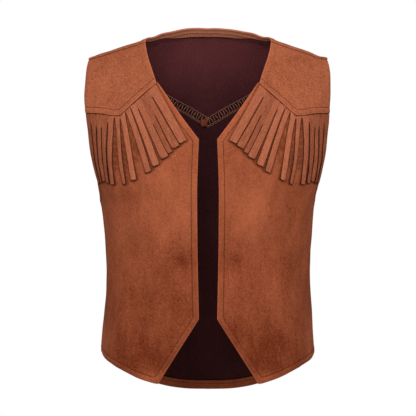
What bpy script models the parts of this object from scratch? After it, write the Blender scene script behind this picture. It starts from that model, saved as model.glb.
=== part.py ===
"""A child's western vest in suede cloth, open down the front, with slit fringe under the front yokes.

The vest is filled out as if worn. Its front faces -Y and +Z is up. The origin lies midway
between the shoulders, at the height where they carry the vest.
Tables are in millimetres. The meshes are in metres.
"""
import math
from bisect import bisect_right
from collections import namedtuple

import bpy
from mathutils import Vector

MM = 0.001

# Cloth
CLOTH = 1.2          # one layer of suede cloth
HEM = 2.4            # an edge turned in and stitched down
YOKE_OUT = 1.3       # how far a yoke's face stands out from the panel that it laps
FRINGE_OUT = 1.4     # the fringe's face, measured from the panel that it lies on
FRINGE_CLOTH = 1.0
SEAM_GAP = 0.3       # clear space between two sewn pieces
SHOULDER_GAP = 0.55  # the same space measured as reach, which shortens towards the shoulder tip

# Body form: rounding of the plan, and of the shoulders
PLAN_POWER = 2.4
SHOULDER_DEPTH = 110.0
SHOULDER_POWER = 1.4
RIDGE_SPREAD = 40.0

# Fringe
SLIT_WIDTH = 0.7
STRAND_STEPS = 8

FRONT = -1
BACK = 1

# The filled-out body at each height: half its width, and how far the cloth stands forward and back
Section = namedtuple("Section", "z half_width front back")
SECTIONS = [
    Section(-380, 118.5, 91.0, 87.0),
    Section(-332, 117.7, 89.0, 83.0),
    Section(-310, 116.6, 88.0, 80.5),
    Section(-290, 113.9, 86.5, 78.0),
    Section(-265, 112.4, 85.0, 76.0),
    Section(-243, 112.2, 84.0, 75.0),
    Section(-215, 113.2, 85.0, 77.0),
    Section(-190, 115.5, 87.0, 80.5),
    Section(-165, 119.1, 88.0, 84.0),
    Section(-150, 124.7, 88.5, 85.0),
    Section(-125, 132.3, 88.0, 87.0),
    Section(-90, 139.0, 86.0, 87.0),
    Section(-44, 145.0, 82.0, 83.0),
    Section(-8, 148.5, 79.0, 79.0),
    Section(30, 148.5, 78.0, 78.0),
]

# Height of the shoulder ridge, and of the line above the back neck that it runs into
Ridge = namedtuple("Ridge", "x z")
RIDGE = [
    Ridge(0, 50.0),
    Ridge(20, 47.5),
    Ridge(40, 38.0),
    Ridge(55, 25.5),
    Ridge(62, 18.8),
    Ridge(68, 13.4),
    Ridge(75, 9.2),
    Ridge(85, 5.6),
    Ridge(100, 0.5),
    Ridge(115, -4.4),
    Ridge(131, -9.5),
    Ridge(150, -15.7),
]

# Outlines as seen from the front: x from the centre line, and height
Place = namedtuple("Place", "x z")
NECKLINE_YOKE = [Place(67.9, 9.3), Place(65.2, -7.0), Place(60.5, -21.0), Place(53.0, -39.0)]
NECKLINE_FRONT = [Place(53.0, -39.0), Place(42.8, -54.4), Place(29.4, -73.8), Place(9.6, -101.0)]
FRONT_EDGE = [Place(9.6, -101.0), Place(11.4, -144.5), Place(11.4, -208.5), Place(9.8, -290.3)]
CUTAWAY = [Place(9.8, -290.3), Place(54.5, -362.0)]
YOKE_SEAM_SLOPE = [Place(53.0, -39.0), Place(94.6, -75.0)]
YOKE_SEAM_LEVEL = [Place(94.6, -75.0), Place(103.2, -74.4), Place(113.1, -72.6), Place(133.0, -71.0)]
BACK_SEAM = [Place(0.0, -79.5), Place(24.0, -65.2), Place(48.0, -52.4), Place(90.0, -31.0), Place(131.3, -15.0)]

# Outlines that reach the side: the turn round the body from the centre line, in degrees, and height
Turned = namedtuple("Turned", "turn z")
FRONT_HEM = [Turned(27.4, -362.0), Turned(38.7, -356.6), Turned(48.3, -350.7), Turned(58.2, -344.9),
             Turned(68.3, -339.2), Turned(79.2, -333.7), Turned(90.0, -330.6)]
BACK_HEM = [Turned(0.0, -378.5), Turned(14.4, -377.3), Turned(27.3, -373.0), Turned(40.5, -362.5),
            Turned(51.5, -353.5), Turned(62.5, -345.0), Turned(72.0, -337.5), Turned(90.0, -330.6)]
ARMHOLE_YOKE = [Turned(62.2, -11.5), Turned(64.0, -19.0), Turned(66.6, -35.0), Turned(69.2, -57.0),
                Turned(69.9, -71.0)]
ARMHOLE_FRONT = [Turned(69.9, -71.0), Turned(70.0, -105.0), Turned(70.9, -128.0), Turned(72.2, -144.0),
                 Turned(76.5, -156.0), Turned(83.0, -163.0), Turned(90.0, -165.5)]
ARMHOLE_BACK = [Turned(62.3, -15.0), Turned(64.0, -35.0), Turned(66.5, -57.0), Turned(67.5, -85.0),
                Turned(68.0, -115.0), Turned(70.5, -144.0), Turned(75.5, -156.0), Turned(83.0, -163.0),
                Turned(90.0, -165.5)]
SIDE_SEAM = [Turned(90.0, -165.5), Turned(90.0, -330.6)]

# Outlines across the shoulder: x, and the reach from the ridge, which is negative in front of it
Reached = namedtuple("Reached", "x reach")
SHOULDER_SEAM = [Reached(67.9, -18.0), Reached(100.0, -16.5), Reached(120.0, -14.8), Reached(131.0, -12.5)]
SIDE_NECK = [Reached(67.9, -18.0), Reached(66.3, 0.0), Reached(62.4, 18.0)]
BACK_NECK = [Reached(0.0, 50.8), Reached(19.8, 48.6), Reached(39.5, 39.3), Reached(52.5, 29.7),
             Reached(57.6, 25.3), Reached(62.4, 18.0)]
ARMHOLE_TOP = [Reached(131.0, -12.5), Reached(131.4, 0.0), Reached(131.3, 22.0)]

# Soft troughs in the cloth: where, how they lean from upright in degrees, half length, half width, depth
Fold = namedtuple("Fold", "turn z lean length width depth")
FRONT_FOLDS = [
    Fold(15, -232, 12, 15, 8, 1.4),
    Fold(47, -205, 14, 55, 15, 2.2),
    Fold(67, -262, -10, 42, 13, 1.8),
    Fold(37, -312, 24, 30, 14, 1.3),
]
BACK_FOLDS = [
    Fold(19, -176, 6, 62, 14, 2.4),
    Fold(52, -214, -12, 58, 15, 2.6),
    Fold(36, -306, 10, 38, 16, 1.8),
]
MM_PER_DEGREE = 1.8

# Fringe strands, from the neckline to the armhole: where each root starts along the seam, how far
# below the seam its slit starts, the middle of its cut end, its width there, its bow, its lift at the end
Strand = namedtuple("Strand", "root_x slit tip_x tip_z width bow lift")
STRANDS = [
    Strand(54.6, 5.0, 26.6, -104.2, 7.0, 0.0, 0.5),
    Strand(63.5, 6.0, 33.9, -109.6, 7.6, -0.3, 0.9),
    Strand(67.9, 6.5, 39.9, -115.3, 5.2, -0.3, 0.5),
    Strand(72.5, 6.5, 45.6, -120.9, 7.8, -0.2, 1.1),
    Strand(77.4, 6.5, 55.0, -128.9, 7.2, 0.6, 1.3),
    Strand(83.4, 5.5, 63.5, -135.9, 6.8, 1.2, 1.0),
    Strand(88.8, 5.0, 78.9, -144.2, 5.8, 1.2, 1.4),
    Strand(94.6, 5.0, 89.0, -148.4, 4.8, 0.7, 1.1),
    Strand(100.4, 5.0, 101.7, -148.6, 6.0, 0.0, 0.8),
    Strand(107.4, 15.0, 107.4, -147.2, 5.6, 0.0, 0.6),
    Strand(114.1, 15.5, 111.6, -145.2, 5.0, 0.4, 1.0),
    Strand(119.7, 14.5, 115.0, -146.4, 4.8, 0.3, 0.7),
    Strand(125.9, 9.5, 117.6, -147.0, 4.4, 0.0, 0.5),
]
FRINGE_END_X = 131.6

# Grid lines of the cloth, as shares of each panel's width and height. The first and last lines
# of a hemmed side lie one hem's width in from its edge.
ACROSS = [0, 0.045, 0.13, 0.22, 0.32, 0.42, 0.51, 0.60, 0.69, 0.78, 0.87, 0.955, 1]
CORNER = 0.42
SIDE_LINES = [0, 0.13, 0.265, 0.40, 0.53, 0.66, 0.79, 0.90, 0.963, 1]
FRONT_ARM = 0.32
FRONT_DOWN = [0, 0.08, 0.16, 0.225, 0.262, 0.293]
FRONT_DOWN += [FRONT_ARM + (1 - FRONT_ARM) * share for share in SIDE_LINES]
FRONT_YOKE_DOWN = [0, 0.025, 0.14, 0.28, 0.44, 0.60, 0.77, 0.92, 0.985, 1]

# The back's grid has a middle part under the back neck, and a part on each side under the shoulder
MIDDLE_ACROSS = [0, 0.25, 0.50, 0.75, 1]
MIDDLE = 0.40
BACK_ACROSS = [MIDDLE * share for share in MIDDLE_ACROSS[:-1]]
BACK_ACROSS += [MIDDLE + (1 - MIDDLE) * share for share in ACROSS]
MIDDLE_DOWN = [0, 0.06, 0.16, 0.28, 0.42, 0.57, 0.72, 0.86, 0.94, 0.985, 1]
SIDE_NECK_LINES = [0, 0.06, 0.36, 0.68]
SIDE_NECK_END = 0.25
BACK_YOKE_DOWN = [SIDE_NECK_END * share for share in SIDE_NECK_LINES]
BACK_YOKE_DOWN += [SIDE_NECK_END + (1 - SIDE_NECK_END) * share for share in MIDDLE_DOWN]
BACK_ARM = 0.42
BACK_DOWN = [0, 0.06, 0.15, 0.24, 0.30, 0.34, 0.373, 0.40]
BACK_DOWN += [BACK_ARM + (1 - BACK_ARM) * share for share in SIDE_LINES]

# Grid lines whose shares lie outside these are in a hem
HEM_INNER = 0.10
HEM_OUTER = 0.90
HEM_BACK_OUTER = 0.96
HEM_LOWER = 0.95
HEM_YOKE_LOWER = 0.90
HEM_BACK_NECK = MIDDLE + 0.03

# Colours as linear RGB
YOKE_COLOUR = (0.39, 0.112, 0.048)
PANEL_COLOUR = (0.30, 0.078, 0.033)
FRINGE_COLOUR = (0.35, 0.105, 0.050)
BACK_COLOUR = (0.27, 0.070, 0.030)


def curve_through(keys, values, level_start=False):
    """A smooth function through known values. The keys rise."""
    steps = [b - a for a, b in zip(keys, keys[1:])]
    rises = [(b - a) / step for a, b, step in zip(values, values[1:], steps)]
    slopes = [0.0 if level_start else rises[0]]
    for i in range(1, len(steps)):
        slopes.append((rises[i - 1] * steps[i] + rises[i] * steps[i - 1]) / (steps[i - 1] + steps[i]))
    slopes.append(rises[-1])

    def value(at):
        if at <= keys[0]:
            return values[0]
        if at >= keys[-1]:
            return values[-1]
        i = bisect_right(keys, at) - 1
        t = (at - keys[i]) / steps[i]
        near = values[i] * (1 + 2 * t) + slopes[i] * steps[i] * t
        far = values[i + 1] * (3 - 2 * t) + slopes[i + 1] * steps[i] * (t - 1)
        return near * (1 - t) ** 2 + far * t ** 2

    return value


def column(table, name):
    return [float(getattr(row, name)) for row in table]


half_width = curve_through(column(SECTIONS, "z"), column(SECTIONS, "half_width"))
front_depth = curve_through(column(SECTIONS, "z"), column(SECTIONS, "front"))
back_depth = curve_through(column(SECTIONS, "z"), column(SECTIONS, "back"))
ridge_height = curve_through(column(RIDGE, "x"), column(RIDGE, "z"), level_start=True)


def drop_of(reach):
    """How far below the ridge a place lies that is this far from it along the cloth."""
    return math.hypot(reach, RIDGE_SPREAD) - RIDGE_SPREAD


def reach_of(drop, side):
    return side * math.sqrt(max(0.0, (drop + RIDGE_SPREAD) ** 2 - RIDGE_SPREAD ** 2))


def on_body(turn, reach):
    """The point on the filled-out body, by its turn from the centre line and its reach from the ridge."""
    share = math.sin(math.radians(turn))
    drop = drop_of(reach)
    x = 0.0
    z = -drop
    for _ in range(8):
        x = half_width(z) * share
        z = ridge_height(abs(x)) - drop
    depth = front_depth(z) if reach < 0 else back_depth(z)
    shoulder = math.sqrt(1 - max(0.0, 1 - drop / SHOULDER_DEPTH) ** SHOULDER_POWER)
    plan = max(0.0, 1 - abs(share) ** PLAN_POWER) ** (1 / PLAN_POWER)
    half_gap = SEAM_GAP / 2 * max(-1.0, min(1.0, reach / RIDGE_SPREAD))
    return Vector((x, half_gap + math.copysign(depth * shoulder * plan, reach), z))


def face_normal(turn, reach):
    """The outward direction of the body, square to it."""
    step = 0.5
    down = on_body(turn, reach + step) - on_body(turn, reach - step)
    if turn > 89.0:
        across = Vector((0.0, math.copysign(1.0, -reach), 0.0))
    else:
        across = on_body(turn + step, reach) - on_body(turn - step, reach)
    return across.cross(down).normalized()


def fold_depth(turn, z, side):
    """How far the folds draw the cloth in at a place."""
    depth = 0.0
    for fold in FRONT_FOLDS if side == FRONT else BACK_FOLDS:
        lean = math.radians(fold.lean)
        away = (turn - fold.turn) * MM_PER_DEGREE
        along = (z - fold.z) * math.cos(lean) + away * math.sin(lean)
        aside = away * math.cos(lean) - (z - fold.z) * math.sin(lean)
        depth += fold.depth * math.exp(-(along / fold.length) ** 2 - (aside / fold.width) ** 2)
    return depth


def on_cloth(turn, reach, out):
    """A point on the cloth, moved out from the body's surface."""
    point = on_body(turn, reach)
    side = FRONT if reach < 0 else BACK
    return point + face_normal(turn, reach) * (out - fold_depth(turn, point.z, side))


def from_place(place, side):
    turn = math.degrees(math.asin(min(1.0, place.x / half_width(place.z))))
    return Vector((turn, reach_of(ridge_height(place.x) - place.z, side)))


def from_turned(place, side):
    x = half_width(place.z) * math.sin(math.radians(place.turn))
    return Vector((place.turn, reach_of(ridge_height(x) - place.z, side)))


def from_reached(place, side):
    z = ridge_height(place.x) - drop_of(place.reach)
    return Vector((math.degrees(math.asin(place.x / half_width(z))), place.reach))


READERS = {Place: from_place, Turned: from_turned, Reached: from_reached}


def trace(rows, side, lower=0.0):
    """An outline as a function of the share of its length. lower moves it down."""
    lengths = [0.0]
    for a, b in zip(rows, rows[1:]):
        lengths.append(lengths[-1] + math.dist(a, b))
    kind = type(rows[0])
    first = curve_through(lengths, [float(row[0]) for row in rows])
    second = curve_through(lengths, [float(row[1]) for row in rows])

    def place(share):
        at = share * lengths[-1]
        return READERS[kind](kind(first(at), second(at) - lower), side)

    return place


def joined(first, second, at):
    """Two outlines end to end, which meet at a corner at this share."""
    def place(share):
        if share <= at:
            return first(share / at)
        return second((share - at) / (1 - at))

    return place


def straight(start, end):
    return lambda share: start.lerp(end, share)


def stretch(outline, start, end):
    """The part of an outline between two shares of its length."""
    return lambda share: outline(start + (end - start) * share)


def fit_ends(outline, start, end):
    """The outline, moved so that it starts and ends exactly at two places."""
    first = start - outline(0)
    last = end - outline(1)
    return lambda share: outline(share) + first * (1 - share) + last * share


def patch(upper, lower, inner, outer, across, down):
    """Rows of places between four outlines."""
    corners = [upper(0), upper(1), lower(0), lower(1)]
    rows = []
    for v in down:
        row = []
        for u in across:
            sides = inner(v) * (1 - u) + outer(v) * u + upper(u) * (1 - v) + lower(u) * v
            twice = (corners[0] * (1 - u) + corners[1] * u) * (1 - v)
            twice += (corners[2] * (1 - u) + corners[3] * u) * v
            row.append(sides - twice)
        rows.append(row)
    return rows


def suede(name, colour):
    material = bpy.data.materials.new(name)
    material.use_nodes = True
    shader = material.node_tree.nodes["Principled BSDF"]
    shader.inputs["Base Color"].default_value = (*colour, 1.0)
    shader.inputs["Roughness"].default_value = 0.95
    shader.inputs["Metallic"].default_value = 0.0
    return material


def mesh_object(name, points, faces, colour, collection):
    mesh = bpy.data.meshes.new(name)
    mesh.from_pydata([point * MM for point in points], [], faces)
    mesh.shade_smooth()
    mesh.materials.append(suede(name + "_suede", colour))
    piece = bpy.data.objects.new(name, mesh)
    collection.objects.link(piece)
    return piece


def give_wall(piece, thin, thick=None, doubled=()):
    """Cloth of one thickness, and of another at the doubled vertices."""
    wall = piece.modifiers.new("Wall", "SOLIDIFY")
    wall.offset = -1
    wall.thickness = (thick or thin) * MM
    if thick:
        group = piece.vertex_groups.new(name="doubled")
        group.add(list(doubled), 1.0, "REPLACE")
        wall.vertex_group = group.name
        wall.thickness_vertex_group = thin / thick


def mirror_half(piece):
    mirror = piece.modifiers.new("Mirror", "MIRROR")
    mirror.use_axis = (True, False, False)
    mirror.use_clip = True
    mirror.merge_threshold = 0.00005


def panel(name, rows, side, hand, out, colour, collection):
    """A panel's outer face, as a grid on the body, and its vertices by row and column.

    hand is -1 for the half at -X. A place that is None is left out of the grid.
    """
    points = []
    numbers = {}
    for i, row in enumerate(rows):
        for j, place in enumerate(row):
            if place is None:
                continue
            point = on_cloth(place[0], place[1], out)
            if abs(place[0]) < 1e-9:
                point.x = 0.0
            numbers[i, j] = len(points)
            points.append(Vector((point.x * hand, point.y, point.z)))
    faces = []
    for i, j in numbers:
        corners = [(i, j), (i + 1, j), (i + 1, j + 1), (i, j + 1)]
        if all(corner in numbers for corner in corners):
            face = [numbers[corner] for corner in corners]
            faces.append(face if side * hand < 0 else face[::-1])
    return mesh_object(name, points, faces, colour, collection), numbers


def hem_vertices(numbers, across, down, chosen):
    """The vertices whose shares across and down the chosen rule takes."""
    return [number for (i, j), number in numbers.items() if chosen(across[j], down[i])]


def front_yoke(name, hand, collection):
    seam = joined(trace(YOKE_SEAM_SLOPE, FRONT, -SEAM_GAP / 2),
                  trace(YOKE_SEAM_LEVEL, FRONT, -SEAM_GAP / 2), CORNER)
    shoulder = trace([row._replace(reach=row.reach - SHOULDER_GAP) for row in SHOULDER_SEAM], FRONT)
    neck = fit_ends(trace(NECKLINE_YOKE, FRONT), shoulder(0), seam(0))
    arm = fit_ends(trace(ARMHOLE_YOKE, FRONT), shoulder(1), seam(1))
    rows = patch(shoulder, seam, neck, arm, ACROSS, FRONT_YOKE_DOWN)
    piece, numbers = panel(name, rows, FRONT, hand, YOKE_OUT, YOKE_COLOUR, collection)
    hems = hem_vertices(numbers, ACROSS, FRONT_YOKE_DOWN,
                        lambda u, v: u < HEM_INNER or u > HEM_OUTER or v > HEM_YOKE_LOWER)
    give_wall(piece, CLOTH, HEM, hems)


def front_panel(name, hand, collection):
    seam = joined(trace(YOKE_SEAM_SLOPE, FRONT, SEAM_GAP / 2),
                  trace(YOKE_SEAM_LEVEL, FRONT, SEAM_GAP / 2), CORNER)
    hem = joined(trace(CUTAWAY, FRONT), trace(FRONT_HEM, FRONT), CORNER)
    inner = joined(trace(NECKLINE_FRONT, FRONT), trace(FRONT_EDGE, FRONT), FRONT_ARM)
    outer = joined(trace(ARMHOLE_FRONT, FRONT), trace(SIDE_SEAM, FRONT), FRONT_ARM)
    rows = patch(seam, hem, fit_ends(inner, seam(0), hem(0)), fit_ends(outer, seam(1), hem(1)),
                 ACROSS, FRONT_DOWN)
    piece, numbers = panel(name, rows, FRONT, hand, 0.0, PANEL_COLOUR, collection)
    hems = hem_vertices(numbers, ACROSS, FRONT_DOWN,
                        lambda u, v: u < HEM_INNER or v > HEM_LOWER or (u > HEM_OUTER and v < FRONT_ARM))
    give_wall(piece, CLOTH, HEM, hems)


def back_yoke(collection):
    """The middle hangs from the back neck, and each side rolls over the ridge from the shoulder seam."""
    seam = trace(BACK_SEAM, BACK, -SEAM_GAP / 2)
    shoulder = trace(SHOULDER_SEAM, FRONT)
    neck = trace(BACK_NECK, BACK)
    split = straight(neck(1), seam(MIDDLE))
    inner = joined(trace(SIDE_NECK, BACK), split, SIDE_NECK_END)
    arm = fit_ends(trace(ARMHOLE_TOP, BACK), shoulder(1), seam(1))
    middle = patch(neck, stretch(seam, 0, MIDDLE), straight(neck(0), seam(0)), split,
                   MIDDLE_ACROSS, MIDDLE_DOWN)
    sides = patch(shoulder, stretch(seam, MIDDLE, 1), inner, arm, ACROSS, BACK_YOKE_DOWN)
    above = len(SIDE_NECK_LINES)
    rows = [[None] * (len(MIDDLE_ACROSS) - 1) + row for row in sides[:above]]
    rows += [first[:-1] + second for first, second in zip(middle, sides[above:])]
    piece, numbers = panel("back_yoke", rows, BACK, 1, YOKE_OUT, YOKE_COLOUR, collection)
    mirror_half(piece)
    neck_row = above + 1
    hems = [number for (i, j), number in numbers.items()
            if (i <= neck_row and BACK_ACROSS[j] < HEM_BACK_NECK)
            or BACK_ACROSS[j] > HEM_BACK_OUTER or BACK_YOKE_DOWN[i] > HEM_YOKE_LOWER]
    give_wall(piece, CLOTH, HEM, hems)


def back_panel(collection):
    seam = trace(BACK_SEAM, BACK, SEAM_GAP / 2)
    hem = trace(BACK_HEM, BACK)
    outer = joined(trace(ARMHOLE_BACK, BACK), trace(SIDE_SEAM, BACK), BACK_ARM)
    rows = patch(seam, hem, straight(seam(0), hem(0)), fit_ends(outer, seam(1), hem(1)),
                 BACK_ACROSS, BACK_DOWN)
    piece, numbers = panel("back_panel", rows, BACK, 1, 0.0, BACK_COLOUR, collection)
    mirror_half(piece)
    hems = hem_vertices(numbers, BACK_ACROSS, BACK_DOWN,
                        lambda u, v: v > HEM_LOWER or (u > HEM_BACK_OUTER and v < BACK_ARM))
    give_wall(piece, CLOTH, HEM, hems)


def seam_z(x):
    """Height of the front yoke's seam at x."""
    slope = curve_through(column(YOKE_SEAM_SLOPE, "x"), column(YOKE_SEAM_SLOPE, "z"))
    level = curve_through(column(YOKE_SEAM_LEVEL, "x"), column(YOKE_SEAM_LEVEL, "z"))
    return slope(x) if x <= YOKE_SEAM_LEVEL[0].x else level(x)


def turned(x, z):
    return Vector((math.degrees(math.asin(x / half_width(z))), z))


def fringe(name, hand, collection):
    """A strip under the yoke's edge, slit into strands that hang from it."""
    points = []
    faces = []

    def add(place, out):
        turn, z = place
        x = half_width(z) * math.sin(math.radians(turn))
        point = on_cloth(turn, reach_of(ridge_height(x) - z, FRONT), out)
        points.append(Vector((point.x * hand, point.y, point.z)))
        return len(points) - 1

    def add_face(a, b, c, d):
        faces.append((a, b, c, d) if hand > 0 else (d, c, b, a))

    previous = None
    for strand, follower in zip(STRANDS, STRANDS[1:] + [None]):
        last = follower is None
        near_x = strand.root_x + (0 if previous is None else SLIT_WIDTH / 2)
        far_x = FRINGE_END_X if last else follower.root_x - SLIT_WIDTH / 2
        far_slit = strand.slit if last else follower.slit
        tops = [turned(x, seam_z(x) - SEAM_GAP) for x in (near_x, far_x)]
        starts = [turned(near_x, seam_z(near_x) - strand.slit), turned(far_x, seam_z(far_x) - far_slit)]
        tip = turned(strand.tip_x, strand.tip_z)
        middle = (starts[0] + starts[1]) / 2
        heading = Vector(((tip.x - middle.x) * MM_PER_DEGREE, tip.y - middle.y)).normalized()
        sideways = Vector((heading.y / MM_PER_DEGREE, -heading.x)) * strand.width / 2
        ends = [tip + sideways, tip - sideways]
        bow = Vector((-strand.bow / MM_PER_DEGREE, 0.0))
        top = [add(place, FRINGE_OUT) for place in tops]
        row = [add(place, FRINGE_OUT) for place in starts]
        add_face(top[0], row[0], row[1], top[1])
        if previous:
            add_face(previous[0], previous[1], row[0], top[0])
        previous = (top[1], row[1])
        for step in range(1, STRAND_STEPS + 1):
            share = step / STRAND_STEPS
            curve = bow * 4 * share * (1 - share)
            out = FRINGE_OUT + strand.lift * share ** 2
            below = [add(start.lerp(end, share) + curve, out) for start, end in zip(starts, ends)]
            add_face(row[0], below[0], below[1], row[1])
            row = below
    piece = mesh_object(name, points, faces, FRINGE_COLOUR, collection)
    give_wall(piece, FRINGE_CLOTH)


def clear_scene():
    for item in list(bpy.data.objects):
        bpy.data.objects.remove(item, do_unlink=True)


def build():
    clear_scene()
    vest = bpy.data.collections.new("western_vest")
    bpy.context.scene.collection.children.link(vest)
    for side_name, hand in (("left", 1), ("right", -1)):
        front_yoke("front_yoke_" + side_name, hand, vest)
        front_panel("front_panel_" + side_name, hand, vest)
        fringe("fringe_" + side_name, hand, vest)
    back_yoke(vest)
    back_panel(vest)


build()
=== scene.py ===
"""The looks of a child's western vest in suede cloth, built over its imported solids.

Each cut piece is a thin shell on the same filled-out body form as its solid, with turned
hems, soft creases, top-stitching, slit fringe and an overlocked seam inside the back.
Tables are in millimetres. The front faces -Y and +Z is up.
"""

import math
from collections import namedtuple

import bmesh
import bpy
import numpy as np
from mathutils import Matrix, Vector
from mathutils.kdtree import KDTree


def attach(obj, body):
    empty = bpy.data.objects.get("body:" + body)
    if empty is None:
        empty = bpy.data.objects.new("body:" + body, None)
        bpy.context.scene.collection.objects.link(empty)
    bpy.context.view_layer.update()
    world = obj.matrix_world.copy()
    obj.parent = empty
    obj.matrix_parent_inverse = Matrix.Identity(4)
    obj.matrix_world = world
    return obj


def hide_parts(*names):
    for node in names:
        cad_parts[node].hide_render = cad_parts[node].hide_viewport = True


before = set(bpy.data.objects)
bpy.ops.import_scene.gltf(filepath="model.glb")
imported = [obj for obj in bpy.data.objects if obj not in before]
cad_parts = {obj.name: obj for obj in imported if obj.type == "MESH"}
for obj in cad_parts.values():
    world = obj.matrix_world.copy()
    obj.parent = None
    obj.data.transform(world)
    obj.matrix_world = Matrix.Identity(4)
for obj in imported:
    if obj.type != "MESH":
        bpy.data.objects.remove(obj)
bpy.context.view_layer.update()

MM = 0.001

# Cloth
CLOTH = 1.2           # one layer of suede cloth
HEM_FOLD = 1.2        # the layer turned in at a hem
HEM_WIDTH = 9.0       # how far the turned layer reaches on the fronts
BACK_HEM_WIDTH = 9.8
BACK_NECK_WIDTH = 11.6
STITCH_IN = 6.3       # the top-stitching, measured from the edge
YOKE_OUT = 1.3        # the yokes' face, measured from the panels' face
SEAM_GAP = 0.06       # between two pieces at a seam
SHOULDER_GAP = 0.3    # between two yokes at the shoulder seam
EDGE_ROUND = 1.3      # radius of a folded edge
EDGE_ROLL = 0.42      # share of the wall by which each face is lower at a folded edge
HEM_PUFF = 0.35       # how far a hem stands up between its edge and its stitching
STITCH_DIP = 0.45     # how far the stitching draws the cloth in
SEAM_DIP = 1.1        # how far a seam draws the cloth in
LAP_LIFT = 1.35       # the yoke's lower edge stands up over the root of the fringe
LAP_REACH = 7.0
NO_EDGE = 99.0        # the distance from an edge where a piece has none

# Body form
PLAN_POWER = 2.4
SHOULDER_DEPTH = 110.0
SHOULDER_POWER = 1.4
RIDGE_SPREAD = 40.0
MM_PER_DEGREE = 1.8
FRONT = -1
BACK = 1
SIDES = (("left", 1), ("right", -1))

Section = namedtuple("Section", "z half_width front back")
SECTIONS = [
    Section(-380, 118.8, 91.0, 87.0),
    Section(-332, 117.0, 89.0, 83.0),
    Section(-310, 115.6, 88.0, 80.5),
    Section(-290, 113.9, 86.5, 78.0),
    Section(-265, 112.4, 85.0, 76.0),
    Section(-243, 112.2, 84.0, 75.0),
    Section(-215, 112.6, 85.0, 77.0),
    Section(-190, 114.5, 87.0, 80.5),
    Section(-165, 118.1, 88.0, 84.0),
    Section(-150, 124.2, 88.5, 85.0),
    Section(-125, 132.3, 88.0, 87.0),
    Section(-90, 139.0, 86.0, 87.0),
    Section(-44, 145.0, 82.0, 83.0),
    Section(-8, 148.5, 79.0, 79.0),
    Section(30, 148.5, 78.0, 78.0),
]

Ridge = namedtuple("Ridge", "x z")
RIDGE = [
    Ridge(0, 50.0),
    Ridge(20, 47.5),
    Ridge(40, 38.0),
    Ridge(55, 25.5),
    Ridge(62, 18.2),
    Ridge(68, 12.0),
    Ridge(75, 8.5),
    Ridge(85, 4.7),
    Ridge(100, -0.5),
    Ridge(115, -5.2),
    Ridge(131, -10.1),
    Ridge(150, -16.3),
]

# Outlines as seen from the front: x from the centre line, and height
Place = namedtuple("Place", "x z")
NECKLINE_YOKE = [Place(69.0, 8.4), Place(65.8, -7.0), Place(61.3, -21.0), Place(54.6, -40.4)]
NECKLINE_FRONT = [Place(54.6, -40.4), Place(44.9, -54.4), Place(31.2, -73.8), Place(9.8, -102.2)]
FRONT_EDGE = [Place(9.8, -102.2), Place(11.4, -144.5), Place(11.4, -208.5), Place(9.8, -293.2)]
CUTAWAY = [Place(9.8, -293.2), Place(54.5, -363.2)]
YOKE_SEAM_SLOPE = [Place(54.6, -40.4), Place(94.6, -75.0)]
YOKE_SEAM_LEVEL = [Place(94.6, -75.0), Place(103.2, -74.4), Place(113.1, -72.6), Place(131.4, -71.0)]
BACK_SEAM = [Place(0.0, -79.5), Place(24.0, -65.2), Place(48.0, -52.4), Place(90.0, -31.0),
             Place(131.3, -15.0)]

# Outlines that reach the side: the turn round the body in degrees, and height
Turned = namedtuple("Turned", "turn z")
FRONT_HEM = [Turned(27.4, -363.2), Turned(38.7, -357.5), Turned(48.3, -351.4), Turned(58.2, -345.6),
             Turned(68.3, -340.6), Turned(79.2, -335.8), Turned(90.0, -331.6)]
BACK_HEM = [Turned(0.0, -379.0), Turned(14.4, -377.8), Turned(27.3, -373.0), Turned(40.5, -362.5),
            Turned(51.5, -353.5), Turned(62.5, -343.5), Turned(72.0, -337.5), Turned(90.0, -331.6)]
ARMHOLE_YOKE = [Turned(62.2, -11.5), Turned(64.0, -19.0), Turned(66.6, -35.0), Turned(69.0, -57.0),
                Turned(68.5, -71.0)]
ARMHOLE_FRONT = [Turned(69.9, -71.0), Turned(70.0, -105.0), Turned(71.2, -128.0), Turned(74.4, -144.0),
                 Turned(79.0, -156.0), Turned(84.5, -162.6), Turned(90.0, -165.5)]
ARMHOLE_BACK = [Turned(62.3, -15.0), Turned(64.0, -35.0), Turned(66.5, -57.0), Turned(67.5, -85.0),
                Turned(68.0, -115.0), Turned(70.5, -144.0), Turned(75.5, -156.0), Turned(83.0, -163.0),
                Turned(90.0, -165.5)]
SIDE_SEAM = [Turned(90.0, -165.5), Turned(90.0, -331.6)]

# Outlines across the shoulder: x, and the reach from the ridge, which is negative in front of it
Reached = namedtuple("Reached", "x reach")
SHOULDER_SEAM = [Reached(69.0, -18.0), Reached(100.0, -16.5), Reached(120.0, -14.8), Reached(131.0, -12.5)]
SIDE_NECK = [Reached(69.0, -18.0), Reached(67.5, 0.0), Reached(62.4, 16.8)]
BACK_NECK = [Reached(0.0, 49.8), Reached(19.8, 47.6), Reached(39.5, 39.8), Reached(52.5, 28.6),
             Reached(57.6, 23.9), Reached(62.4, 16.8)]
ARMHOLE_TOP = [Reached(131.0, -12.5), Reached(131.4, 0.0), Reached(131.3, 22.0)]

# Where two outlines meet at a corner, as a share of the side that they make
CORNER = 0.42
FRONT_ARM = 0.32
BACK_ARM = 0.42
MIDDLE = 0.40
SIDE_NECK_END = 0.25

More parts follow.
